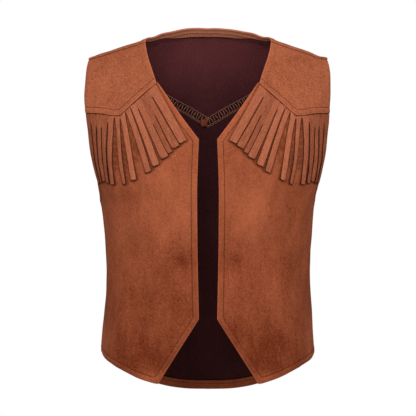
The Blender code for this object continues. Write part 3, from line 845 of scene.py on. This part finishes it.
def strand_shell(number, hand):
    """One strand as a closed strip: its points, faces, cloth map and marks."""
    strand = STRANDS[number]
    across = np.linspace(0.0, 1.0, STRAND_COLUMNS)
    aside = 2 * across - 1
    grown = np.maximum(GROWTH, 0.0)[:, None]
    sway = SWAY * np.sin(7.0 * grown + 2.3 * number) * grown
    out = FRINGE_OUT + strand.lift * grown ** 2 + sway
    out = out - CAMBER * aside ** 2 * smooth(grown, 0.0, 0.15) + strand.twist * aside * grown * 2
    out[:2] = ROOT_OUT
    outer, normals = on_cloth(strand_places(number, hand), out)
    inner = outer - normals * FRINGE_CLOTH
    along = length_along(outer[:, 2])[:, None]
    width = np.linalg.norm(outer[:, -1] - outer[:, 0], axis=1)[:, None]
    near_side = NO_EDGE if number == 0 else across
    far_side = NO_EDGE if number == len(STRANDS) - 1 else 1 - across
    cut_side = np.minimum(near_side, far_side) * width + ROOT_UNCUT * (grown <= 0)
    cut_side = np.minimum(cut_side, along[-1] - along)
    outer, inner = outer.reshape(-1, 3), inner.reshape(-1, 3)
    front, back, rim = shell_faces(np.arange(cut_side.size).reshape(cut_side.shape), outer, inner)
    cloth_map = np.stack(np.broadcast_arrays(width * across + STRAND_APART * number, along), axis=-1)
    return {"points": np.concatenate([outer, inner]), "faces": front + back + rim,
            "cloth_map": np.tile(cloth_map.reshape(-1, 2), (2, 1)),
            "cut_side": np.tile(cut_side.ravel(), 2), "tone": np.full(2 * cut_side.size, strand.tone)}


def fringe(name, hand, finishes):
    """Strands on one root strip that is caught under the yoke's edge, as one mesh."""
    shells = [strand_shell(number, hand) for number in range(len(STRANDS))]
    count = len(shells[0]["points"])
    faces = [[number * count + corner for corner in face]
             for number, shell in enumerate(shells) for face in shell["faces"]]
    points, cloth_map, cut_side, tone = (np.concatenate([shell[label] for shell in shells])
                                         for label in ("points", "cloth_map", "cut_side", "tone"))
    piece = cloth_object(name, points, faces, finishes, {"cut_side": cut_side, "tone": tone}, cloth_map)
    piece.data.set_sharp_from_angle(angle=math.radians(50.0))
    return piece


class Nodes:
    """A node tree, and one way to add to it."""

    def __init__(self, tree):
        self.tree = tree

    def node(self, kind, settings, inputs, output=0):
        """Adds a node. Its settings are made first, then the values or links of its sockets."""
        made = self.tree.nodes.new(kind)
        for name, value in settings.items():
            setattr(made, name, value)
        for name, value in inputs.items():
            self.feed(made.inputs[name], value)
        return Value(self, made.outputs[output])

    def feed(self, socket, value):
        if isinstance(value, Value):
            self.tree.links.new(value.socket, socket)
        else:
            socket.default_value = value

    def maths(self, operation, *values):
        return self.node("ShaderNodeMath", {"operation": operation}, dict(enumerate(values)))


class Value:
    """A socket that takes part in Python arithmetic."""

    def __init__(self, nodes, socket):
        self.nodes = nodes
        self.socket = socket

    def __add__(self, other):
        return self.nodes.maths("ADD", self, other)

    def __radd__(self, other):
        return self.nodes.maths("ADD", other, self)

    def __sub__(self, other):
        return self.nodes.maths("SUBTRACT", self, other)

    def __rsub__(self, other):
        return self.nodes.maths("SUBTRACT", other, self)

    def __mul__(self, other):
        return self.nodes.maths("MULTIPLY", self, other)

    def __rmul__(self, other):
        return self.nodes.maths("MULTIPLY", other, self)


class Finish(Nodes):
    """One cloth or thread: a material and its shader."""

    def __init__(self, name, roughness, sheen):
        self.material = bpy.data.materials.new(name)
        self.material.use_nodes = True
        super().__init__(self.material.node_tree)
        self.surface = self.tree.nodes["Principled BSDF"]
        self.surface.inputs["Roughness"].default_value = roughness
        self.surface.inputs["Specular IOR Level"].default_value = 0.06
        self.surface.inputs["Sheen Weight"].default_value = sheen
        self.surface.inputs["Sheen Roughness"].default_value = 0.55
        self.surface.inputs["Sheen Tint"].default_value = (1.0, 0.62, 0.45, 1.0)

    def object_place(self):
        return self.node("ShaderNodeTexCoord", {}, {}, "Object")

    def cloth_place(self):
        return self.node("ShaderNodeUVMap", {"uv_map": "cloth"}, {})

    def attribute(self, name):
        return self.node("ShaderNodeAttribute", {"attribute_name": name}, {}, "Fac")

    def split(self, place):
        """The parts of a place."""
        parts = self.node("ShaderNodeSeparateXYZ", {}, {"Vector": place})
        return [Value(self, socket) for socket in parts.socket.node.outputs]

    def scaled(self, place, scale):
        return self.node("ShaderNodeVectorMath", {"operation": "MULTIPLY"}, {0: place, 1: scale})

    def noise(self, place, scale, detail, roughness=0.55):
        """Clouding about 0, mostly from -0.5 to 0.5."""
        inputs = {"Vector": place, "Scale": scale, "Detail": detail, "Roughness": roughness}
        return (self.node("ShaderNodeTexNoise", {}, inputs) - 0.5) * 2.0

    def between(self, value, low, high):
        """Rises softly from 0 at low to 1 at high."""
        inputs = {"Value": value, "From Min": low, "From Max": high}
        return self.node("ShaderNodeMapRange", {"interpolation_type": "SMOOTHSTEP"}, inputs)

    def line(self, value, at, reach):
        """1 where the value is this one, falling to 0 where it is further off than the reach."""
        return 1 - self.between(self.maths("ABSOLUTE", value - at), 0.0, reach)

    def mix(self, share, first, second):
        settings = {"data_type": "RGBA", "clamp_factor": True}
        return self.node("ShaderNodeMix", settings, {0: share, 6: first, 7: second}, 2)

    def colour(self, value):
        self.feed(self.surface.inputs["Base Color"], value)

    def relief(self, height, distance, strength=1.0):
        bump = self.node("ShaderNodeBump", {}, {"Height": height, "Distance": distance, "Strength": strength})
        self.feed(self.surface.inputs["Normal"], bump)


def linear(colour):
    return (*colour, 1.0)


def shade(colour, share):
    """A colour made darker or lighter."""
    return linear([channel * share for channel in colour])


def suede_colour(finish, light, deep, mottle):
    """Suede nap: cloudy patches, short brush marks and fine grain, over painted shade that darkens it towards
    the bottom.
    """
    place = finish.object_place()
    cloud = finish.noise(place, CLOUD_SCALE, 3.0, 0.6)
    patchy_tone = finish.noise(finish.scaled(place, (1.0, 1.0, 0.35)), BRUSH_SCALE, 3.0, 0.6)
    nap = finish.noise(finish.scaled(place, (1.0, 1.0, 0.7)), PILE_SCALE, 2.0, 0.6)
    grain = finish.noise(place, GRAIN_SCALE, 1.0, 0.7)
    # painted shade: the suede is darker towards the bottom, as if lit from above
    height = finish.between(finish.split(place)[2], -0.39, -0.02)
    share = 0.22 + height * 0.50 + cloud * 0.36 + patchy_tone * 0.28 + (nap * 0.5 + grain * 1.3) * mottle
    # tone patches of the fronts, with painted shade in the dimples of the folds
    share = share + finish.attribute("patchy_tone")
    return finish.mix(share, linear(deep), linear(light)), nap * 0.5 + grain * 0.5


def suede(name, light, deep, mottle):
    """The suede face, with its pressed hem band, a painted highlight along folded edges, painted shade in the
    line that the top-stitching pulls in, and painted shade under the fringe and along the seams.
    """
    finish = Finish(name, 0.93, SUEDE_SHEEN)
    colour, nap = suede_colour(finish, light, deep, mottle)
    edge = finish.attribute("from_edge")
    band = 1 - finish.between(edge, 5.2, 7.0)
    colour = finish.mix(band * 0.07, colour, shade(light, 1.1))
    # painted highlight along the folded edges
    fold = 1 - finish.between(edge, 0.2, 1.2)
    colour = finish.mix(fold * 0.5, colour, shade(light, 1.35))
    # painted shade in the groove of the top-stitching
    stitching = finish.line(finish.attribute("from_row"), STITCH_IN, 0.8)
    colour = finish.mix(stitching * 0.6, colour, shade(deep, 0.55))
    # painted shadow under the fringe and in the gaps between its strands
    fringe_shadow = 1 - finish.between(finish.attribute("from_fringe"), 0.8, 3.2)
    colour = finish.mix(fringe_shadow * 0.55, colour, shade(deep, 0.45))
    # painted shade in the crease along the seams
    seam = 1 - finish.between(finish.attribute("from_seam"), 0.5, 1.5)
    colour = finish.mix(seam * 0.8, colour, shade(deep, 0.22))
    finish.colour(colour)
    finish.relief(nap, 0.0005, 0.6)
    return finish.material


# The knit inside, with painted light that is strongest at one height: that height and how far the painted
# light reaches, in metres, its tone away from there and how much lighter it gets, the share of brightness
# that painted shade leaves it, and the turned hem's width in millimetres and how much narrower it shows near
# the shoulders
Knit = namedtuple("Knit", "height reach least more brightness hem_width narrower")
# painted light: the yoke's knit is lightest at the back neck
NECK_KNIT = Knit(0.005, 0.075, 0.24, 0.72, 1.0, BACK_NECK_WIDTH, 6.5)
# painted light: the body's knit is lightest at the middle of the back and darker above and towards the hem
BODY_KNIT = Knit(-0.245, 0.13, 0.065, 0.3, 1.0, BACK_HEM_WIDTH, 0.0)
# painted shade: the allowance's knit is a darker copy of the same knit
ALLOWANCE_KNIT = Knit(0.0, 0.1, 0.1, 0.2, 0.6, 9.0, 0.0)


def inside(name, light, deep, knit_tone):
    """The knitted reverse, with painted light by height, a painted shadow below the turned hems, and the
    suede of the turned hems showing along the edges.
    """
    finish = Finish(name, 0.95, 0.0)
    across, down, _ = finish.split(finish.cloth_place())
    wale = finish.maths("SINE", across * (2 * math.pi / WALE_WIDTH))
    loop = finish.maths("SINE", down * (2 * math.pi / LOOP_HEIGHT) + wale * 1.1)
    place = finish.object_place()
    sideways, _, height = finish.split(place)
    cloud = finish.noise(place, KNIT_CLOUD_SCALE, 2.0)
    # painted light on the knit, strongest at one height
    painted_light = finish.line(height, knit_tone.height, knit_tone.reach)
    grain = finish.noise(place, KNIT_GRAIN_SCALE, 2.0, 0.7)
    share = knit_tone.least + painted_light * knit_tone.more
    share = share + cloud * 0.14 + wale * 0.02 + loop * 0.05 + grain * 0.3
    # a darker copy of the knit where painted shade is asked for
    knit = finish.mix(share, *(shade(colour, knit_tone.brightness) for colour in (KNIT_DEEP, KNIT_LIGHT)))
    edge = finish.attribute("from_edge")
    edge = edge + finish.between(finish.maths("ABSOLUTE", sideways), 0.02, 0.062) * knit_tone.narrower
    # painted shadow on the knit just beyond the edge of the turned hem
    knit = finish.mix(finish.line(edge, knit_tone.hem_width + 0.6, 1.3) * 0.9, knit, shade(KNIT_DEEP, 0.4))
    turned_in, nap = suede_colour(finish, light, deep, 0.5)
    # painted shade in the groove of the top-stitching
    stitching = finish.line(finish.attribute("from_row"), STITCH_IN, 0.9)
    turned_in = finish.mix(stitching * 0.22, turned_in, shade(deep, 0.5))
    is_hem = 1 - finish.between(edge, knit_tone.hem_width - 0.25, knit_tone.hem_width + 0.25)
    finish.colour(finish.mix(is_hem, knit, turned_in))
    finish.relief(is_hem * nap + (1 - is_hem) * (wale * 0.15 + loop * 0.5), 0.0004)
    return finish.material


def strand_suede(name):
    """Suede strands with brush marks along them, painted shade in the slits along their cut sides and ends,
    and a painted shadow under the yoke's edge at their roots.
    """
    finish = Finish(name, 0.93, SUEDE_SHEEN)
    along = finish.scaled(finish.cloth_place(), (1.0, 0.16, 1.0))
    streak = finish.noise(along, STREAK_SCALE, 3.0, 0.65)
    grain = finish.noise(finish.object_place(), STRAND_GRAIN_SCALE, 2.0, 0.7)
    share = finish.attribute("tone") + streak * 0.6 + grain * 0.6
    colour = finish.mix(share, linear(FRINGE_DEEP), linear(FRINGE_LIGHT))
    # painted shade in the slits between the strands, along their cut sides and ends
    cut = 1 - finish.between(finish.attribute("cut_side"), 0.1, 0.6)
    colour = finish.mix(cut * 0.9, colour, shade(FRINGE_DEEP, 0.14))
    # painted shadow under the yoke's lower edge, across the strands' roots
    root = 1 - finish.between(finish.split(finish.cloth_place())[1], 0.0038, 0.0056)
    colour = finish.mix(root * 0.92, colour, shade(FRINGE_DEEP, 0.12))
    finish.colour(colour)
    finish.relief(streak * 0.5 + grain * 0.5, 0.0005)
    return finish.material


def thread(name, colour):
    """Twisted sewing thread."""
    finish = Finish(name, 0.7, 0.1)
    twist = finish.noise(finish.object_place(), TWIST_SCALE, 1.0)
    finish.colour(finish.mix(0.5 + twist * 0.6, shade(colour, 0.65), shade(colour, 1.3)))
    finish.relief(twist, 0.0002)
    return finish.material


def geometry_tree(name, sockets):
    """An empty Geometry Nodes tree with named inputs, and its inputs by name."""
    tree = bpy.data.node_groups.new(name, "GeometryNodeTree")
    tree.interface.new_socket("Geometry", in_out="INPUT", socket_type="NodeSocketGeometry")
    tree.interface.new_socket("Geometry", in_out="OUTPUT", socket_type="NodeSocketGeometry")
    for label, kind in sockets:
        tree.interface.new_socket(label, in_out="INPUT", socket_type=kind)
    nodes = Nodes(tree)
    entry = tree.nodes.new("NodeGroupInput")
    return nodes, {socket.name: Value(nodes, socket) for socket in entry.outputs if socket.name}


def end_tree(nodes, geometry, finish):
    """Real geometry with its thread, as the tree's result."""
    real = nodes.node("GeometryNodeRealizeInstances", {}, {"Geometry": geometry})
    soft = nodes.node("GeometryNodeSetShadeSmooth", {}, {"Geometry": real})
    dyed = nodes.node("GeometryNodeSetMaterial", {}, {"Geometry": soft, "Material": finish})
    leave = nodes.tree.nodes.new("NodeGroupOutput")
    nodes.feed(leave.inputs[0], dyed)


STITCH_SOCKETS = [("Pitch", "NodeSocketFloat"), ("Length", "NodeSocketFloat"),
                  ("Thickness", "NodeSocketFloat"), ("Slant", "NodeSocketFloat"),
                  ("Seed", "NodeSocketInt"), ("Thread", "NodeSocketMaterial")]


def stitch_tree(name, direction):
    """Stitches along a path. Each lies along the path's tangent, or along its own attribute."""
    nodes, given = geometry_tree(name, STITCH_SOCKETS)
    path = nodes.node("GeometryNodeMeshToCurve", {}, {"Mesh": given["Geometry"]})
    path = nodes.node("GeometryNodeResampleCurve", {"mode": "LENGTH"},
                      {"Curve": path, "Length": given["Pitch"]})
    if direction == "tangent":
        heading = nodes.node("GeometryNodeInputTangent", {}, {})
    else:
        heading = nodes.node("GeometryNodeInputNamedAttribute", {"data_type": "FLOAT_VECTOR"},
                             {"Name": direction})
    facing = nodes.node("GeometryNodeInputNamedAttribute", {"data_type": "FLOAT_VECTOR"}, {"Name": "facing"})
    turn = nodes.node("FunctionNodeAlignRotationToVector", {"axis": "X"}, {"Vector": heading})
    turn = nodes.node("FunctionNodeAlignRotationToVector", {"axis": "Z", "pivot_axis": "X"},
                      {"Rotation": turn, "Vector": facing})
    number = nodes.node("GeometryNodeInputIndex", {}, {})
    side = nodes.maths("MODULO", number, 2.0) * 2.0 - 1.0
    loose = nodes.node("FunctionNodeRandomValue", {"data_type": "FLOAT"},
                       {2: -0.07, 3: 0.07, 8: given["Seed"]}, 1)
    angle = side * given["Slant"] + loose
    spin = nodes.node("ShaderNodeCombineXYZ", {}, {"Z": angle})
    spin = nodes.node("FunctionNodeEulerToRotation", {}, {"Euler": spin})
    turn = nodes.node("FunctionNodeRotateRotation", {"rotation_space": "LOCAL"},
                      {"Rotation": turn, "Rotate By": spin})
    bead = nodes.node("GeometryNodeMeshUVSphere", {}, {"Segments": 6, "Rings": 5, "Radius": 0.5})
    size = nodes.node("ShaderNodeCombineXYZ", {}, {"X": given["Length"], "Y": given["Thickness"],
                                                   "Z": given["Thickness"]})
    laid = nodes.node("GeometryNodeInstanceOnPoints", {},
                      {"Points": path, "Instance": bead, "Rotation": turn, "Scale": size})
    end_tree(nodes, laid, given["Thread"])
    return nodes.tree


def sew(name, paths, tree, thread_finish, pitch, length, thickness, slant=0.0, seed=1):
    """Sews along paths, each with its points, facing and heading, and returns the plain mesh."""
    points, edges, facing, heading = [], [], [], []
    for path_points, path_facing, path_heading in paths:
        start = len(points)
        points += (path_points * MM).tolist()
        edges += [(start + i, start + i + 1) for i in range(len(path_points) - 1)]
        facing += path_facing.tolist()
        heading += path_heading.tolist()
    mesh = bpy.data.meshes.new(name)
    mesh.from_pydata(points, edges, [])
    for label, values in (("facing", facing), ("heading", heading)):
        layer = mesh.attributes.new(label, "FLOAT_VECTOR", "POINT")
        layer.data.foreach_set("vector", np.array(values, np.float32).ravel())
    piece = linked(name, mesh)
    modifier = piece.modifiers.new("Sewing", "NODES")
    modifier.node_group = tree
    given = {"Pitch": pitch * MM, "Length": length * MM, "Thickness": thickness * MM,
             "Slant": math.radians(slant), "Seed": seed, "Thread": thread_finish}
    for item in tree.interface.items_tree:
        if item.name in given:
            modifier[item.identifier] = given[item.name]
    graph = bpy.context.evaluated_depsgraph_get()
    sewn = bpy.data.meshes.new_from_object(piece.evaluated_get(graph), depsgraph=graph)
    piece.modifiers.clear()
    piece.data = sewn
    sewn.name = name
    return piece


def moved_aside(places, distance):
    """Places moved square to the path that they make, along the body."""
    turn, reach = places[:, 0], places[:, 1]
    points = on_body(turn, reach)
    step = np.copysign(0.5, turn)
    by_turn = (points - on_body(turn - step, reach)) / step[:, None]
    by_reach = on_body(turn, reach + 0.5) - on_body(turn, reach - 0.5)
    along = np.gradient(points, axis=0)
    wanted = unit(np.cross(face_normal(turn, reach), along)) * distance
    tt, rr, tr = dot(by_turn, by_turn), dot(by_reach, by_reach), dot(by_turn, by_reach)
    tw, rw = dot(by_turn, wanted), dot(by_reach, wanted)
    shift = np.stack([tw * rr - rw * tr, rw * tt - tw * tr], axis=1) / (tt * rr - tr * tr)[:, None]
    return places + shift


def inset_row(cut, outline, inward, side):
    """A row at a distance from an outline. side is 1 on the cloth's face and -1 on its reverse."""
    shares = np.linspace(0.0, 1.0, ROW_STEPS)
    places = outline(shares)
    moved = np.concatenate([moved_aside(places, inward), moved_aside(places, -inward)])
    body = on_body(moved[:, 0], moved[:, 1])
    from_lap = cut.laps.distance(body)
    from_edge = from_lap if cut.plain_hems else np.minimum(cut.hems.distance(body), from_lap)
    on_piece = cut.cloth.distance(body) < CLOTH_STEP
    points, facing, wall, _ = cut.face(moved[on_piece & (from_edge > inward * ROW_NEAREST)])
    if side < 0:
        points = points - facing * (wall - THREAD_SUNK)[:, None]
        facing = -facing
    points = points + facing * THREAD_LIFT
    breaks = np.flatnonzero(np.diff(length_along(points)) > ROW_BREAK) + 1
    headings = unit(np.gradient(points, axis=0) + 1e-9)
    return [(points[part], facing[part], headings[part])
            for part in np.split(np.arange(len(points)), breaks) if len(part) > 3]


def topstitching(name, cut, outlines, tree, finish, seed):
    """Rows on the face, and the same rows showing on the reverse."""
    paths = []
    for outline in outlines:
        for side in (1, -1):
            paths += inset_row(cut, outline, STITCH_IN, side)
    rows = sew(name, paths, tree, finish, STITCH_PITCH, STITCH_LENGTH, STITCH_THICKNESS, 0.0, seed)
    return rows


def allowance_frame():
    """The middle line of the seam allowance inside the back, with its facing and its upward direction."""
    shares = np.linspace(0.0, 1.0, 160)
    half = trace(BACK_SEAM, BACK, -ALLOWANCE_MIDDLE)(shares)
    half = half[on_body(half[:, 0], half[:, 1])[:, 0] < ALLOWANCE_END_X]
    places = np.concatenate([half[:0:-1] * [-1.0, 1.0], half])
    points, normals = on_cloth(places, 0.0)
    upward = unit(np.cross(normals, np.gradient(points, axis=0)))
    upward[upward[:, 2] < 0] *= -1
    return points, -normals, upward


def seam_allowance(name, finishes):
    """The pressed-up allowance of the back yoke's seam, overlocked along its raw edge."""
    points, facing, upward = allowance_frame()
    across = np.linspace(-0.5, 0.5, 7)
    crown = ALLOWANCE_CROWN * (1 - (2 * across) ** 2)
    grid = points[:, None] + upward[:, None] * (across * ALLOWANCE_WIDTH)[None, :, None]
    ripple = ALLOWANCE_RIPPLE * np.sin(np.arange(len(points)) * 0.83)[:, None]
    top = grid + facing[:, None] * (CLOTH + ALLOWANCE_HEIGHT + crown[None] + ripple)[..., None]
    low = grid + facing[:, None] * (CLOTH - 0.15)
    turns = length_along(points)[:, None] / MM_PER_DEGREE
    places = np.stack(np.broadcast_arrays(turns, across[None] * ALLOWANCE_WIDTH), axis=-1)
    return cloth_mesh(name, top, low, places, unmarked(places), finishes)


def unmarked(places):
    """Marks for a strip that has no hem and no stitching of its own."""
    far = np.full(places.shape[:2], NO_EDGE)
    return {"from_edge": far, "from_row": far}


def plain_strip(name, places, out, finishes):
    """A strip of seam allowance on the inside of a seam."""
    points, normals = on_cloth(places, out)
    return cloth_mesh(name, points, points - normals * STRIP_CLOTH, places, unmarked(places), finishes)


def side_allowance(name, hand, finishes):
    """The strip behind a side seam, between the hems. Its turns run up to the seam, at the side."""
    heights = np.linspace(SIDE_STRIP_TOP, SIDE_STRIP_FOOT, STRIP_ROWS)[:, None]
    turns = np.array([[88.4, 89.2, 90.0]] * STRIP_ROWS)
    before = from_turned(turns, heights, FRONT)
    behind = from_turned(turns, heights, BACK)[:, ::-1]
    places = np.concatenate([before, behind], axis=1) * [hand, 1]
    return plain_strip(name, places, -SIDE_STRIP_IN, finishes)


def shoulder_allowance(name, hand, finishes):
    """The strip under a shoulder seam, short of its two ends."""
    seam = trace(SHOULDER_SEAM, FRONT)(np.linspace(0.12, 0.9, 40))[:, None]
    aside = np.linspace(-SHOULDER_STRIP / 2, SHOULDER_STRIP / 2, 7)[None, :, None] * np.array([0.0, 1.0])
    return plain_strip(name, (seam + aside) * [hand, 1], -SHOULDER_STRIP_IN, finishes)


def overlock(name, rung_tree, chain_tree, finish):
    """Zigzag rungs across the allowance, with a chain of thread along each side."""
    points, facing, upward = allowance_frame()
    crest = points + facing * (CLOTH + RUNG_HEIGHT)
    rungs = sew(name, [(crest, facing, upward)], rung_tree, finish, OVERLOCK_PITCH, OVERLOCK_WIDTH,
                OVERLOCK_THREAD, OVERLOCK_SLANT, 5)
    rows = [(points + upward * row.aside + facing * (CLOTH + row.height), facing, upward)
            for row in CHAINS]
    chains = sew(name + "_chain", rows, chain_tree, finish, CHAIN_PITCH, CHAIN_LENGTH, OVERLOCK_THREAD,
                 OVERLOCK_SLANT, 6)
    return [rungs, chains]


def seam_knot(name, finish):
    """The small lump where the two arms of the back seam meet."""
    reach = float(reach_of(ridge_height(KNOT_X) - KNOT_Z, BACK))
    middle, _ = on_cloth(np.array([[KNOT_TURN, reach]]), -CLOTH - KNOT_IN)
    ball = bmesh.new()
    bmesh.ops.create_icosphere(ball, subdivisions=3, radius=1.0)
    ball.verts.index_update()
    spots = np.array([vertex.co for vertex in ball.verts])
    faces = [[vertex.index for vertex in face.verts] for face in ball.faces]
    ball.free()
    x, y, z = spots.T
    lumps = 1 + 0.1 * np.sin(3 * x + 1.0) * np.cos(2.5 * z) + 0.06 * np.sin(5 * z + 2 * y)
    points = middle + spots * KNOT_SIZE * lumps[:, None]
    marks = {"tone": np.full(len(points), KNOT_TONE), "cut_side": np.full(len(points), NO_EDGE)}
    return cloth_object(name, points, faces, [finish], marks, points[:, :2])


def white_room():
    """A white background, and soft light from all round that is stronger from above."""
    world = bpy.data.worlds.new("white_room")
    world.use_nodes = True
    bpy.context.scene.world = world
    nodes = Nodes(world.node_tree)
    seen = nodes.node("ShaderNodeLightPath", {}, {}, "Is Camera Ray")
    direction = nodes.node("ShaderNodeTexCoord", {}, {}, "Generated")
    upward = nodes.node("ShaderNodeSeparateXYZ", {}, {"Vector": direction}, "Z")
    light = ROOM_LIGHT + upward * LIGHT_FROM_ABOVE
    background = world.node_tree.nodes["Background"]
    background.inputs["Color"].default_value = linear((1.0, 1.0, 1.0))
    nodes.feed(background.inputs["Strength"], seen + (1 - seen) * light)


def soft_lamp(row):
    lamp = bpy.data.lights.new(row.name, "AREA")
    lamp.shape = "DISK"
    lamp.size = row.size
    lamp.energy = row.power
    holder = linked(row.name, lamp)
    holder.location = row.place
    holder.rotation_euler = (Vector(LIT_PLACE) - Vector(row.place)).to_track_quat("-Z", "Y").to_euler()


def photo_camera():
    camera = bpy.data.cameras.new("photo_camera")
    camera.sensor_width = 36.0
    camera.lens = camera.sensor_width * CAMERA_DISTANCE / FRAME_WIDTH
    holder = linked("photo_camera", camera)
    holder.location = (0.0, -CAMERA_DISTANCE, CAMERA_HEIGHT)
    holder.rotation_euler = (math.radians(90.0), 0.0, 0.0)
    bpy.context.scene.camera = holder


def wear(piece, node, sewing):
    """Puts a cloth piece and its sewing in its solid's place."""
    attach(piece, "root")
    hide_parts(node)
    for item in sewing:
        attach(item, "root")


def dress():
    brown_thread = thread("brown_thread", BROWN_THREAD)
    tan_thread = thread("tan_thread", TAN_THREAD)
    yoke_face = suede("yoke_suede", YOKE_LIGHT, YOKE_DEEP, mottle=0.8)
    panel_face = suede("panel_suede", PANEL_LIGHT, PANEL_DEEP, mottle=0.4)
    strand_face = strand_suede("fringe_suede")
    neck_inside = inside("yoke_inside", NECK_BAND_LIGHT, NECK_BAND_DEEP, NECK_KNIT)
    body_inside = inside("panel_inside", HEM_BAND_LIGHT, HEM_BAND_DEEP, BODY_KNIT)
    allowance_knit = inside("allowance_knit", HEM_BAND_LIGHT, HEM_BAND_DEEP, ALLOWANCE_KNIT)
    along_tree = stitch_tree("stitches_along", "tangent")
    across_tree = stitch_tree("stitches_across", "heading")

    def stitches(name, cut, rows, seed):
        return topstitching(name + "_stitches", cut, rows, along_tree, brown_thread, seed)

    for side_name, hand in SIDES:
        node = "front_yoke_" + side_name
        yoke, cut, rows = front_yoke(node + "_cloth", hand, [yoke_face, neck_inside])
        sewing = [stitches(node, cut, rows, 11)]
        wear(yoke, node, sewing)
        node = "front_panel_" + side_name
        front, cut, rows = front_panel(node + "_cloth", hand, [panel_face, body_inside])
        sewing = [stitches(node, cut, rows, 12)]
        wear(front, node, sewing)
        node = "fringe_" + side_name
        strands = fringe(node + "_cloth", hand, [strand_face])
        wear(strands, node, [])
    yoke, cut, rows = back_yoke("back_yoke_cloth", [yoke_face, neck_inside])
    sewing = [stitches("back_yoke", cut, rows, 13)]
    under = [shoulder_allowance("shoulder_allowance_" + side_name, hand, [allowance_knit])
             for side_name, hand in SIDES]
    beside = [side_allowance("side_allowance_" + side_name, hand, [allowance_knit])
              for side_name, hand in SIDES]
    wear(yoke, "back_yoke", sewing + under)
    back, cut, rows = back_panel("back_panel_cloth", [panel_face, body_inside])
    sewing = [stitches("back_panel", cut, rows, 14)]
    allowance = seam_allowance("back_seam_allowance", [allowance_knit])
    knot = seam_knot("back_seam_knot", strand_face)
    sewing += [allowance, knot, *overlock("back_seam_overlock", across_tree, along_tree, tan_thread)]
    wear(back, "back_panel", sewing + beside)


def light_and_view():
    bpy.context.scene.view_settings.view_transform = "Standard"
    white_room()
    for row in LAMPS:
        soft_lamp(row)
    photo_camera()


dress()
light_and_view()
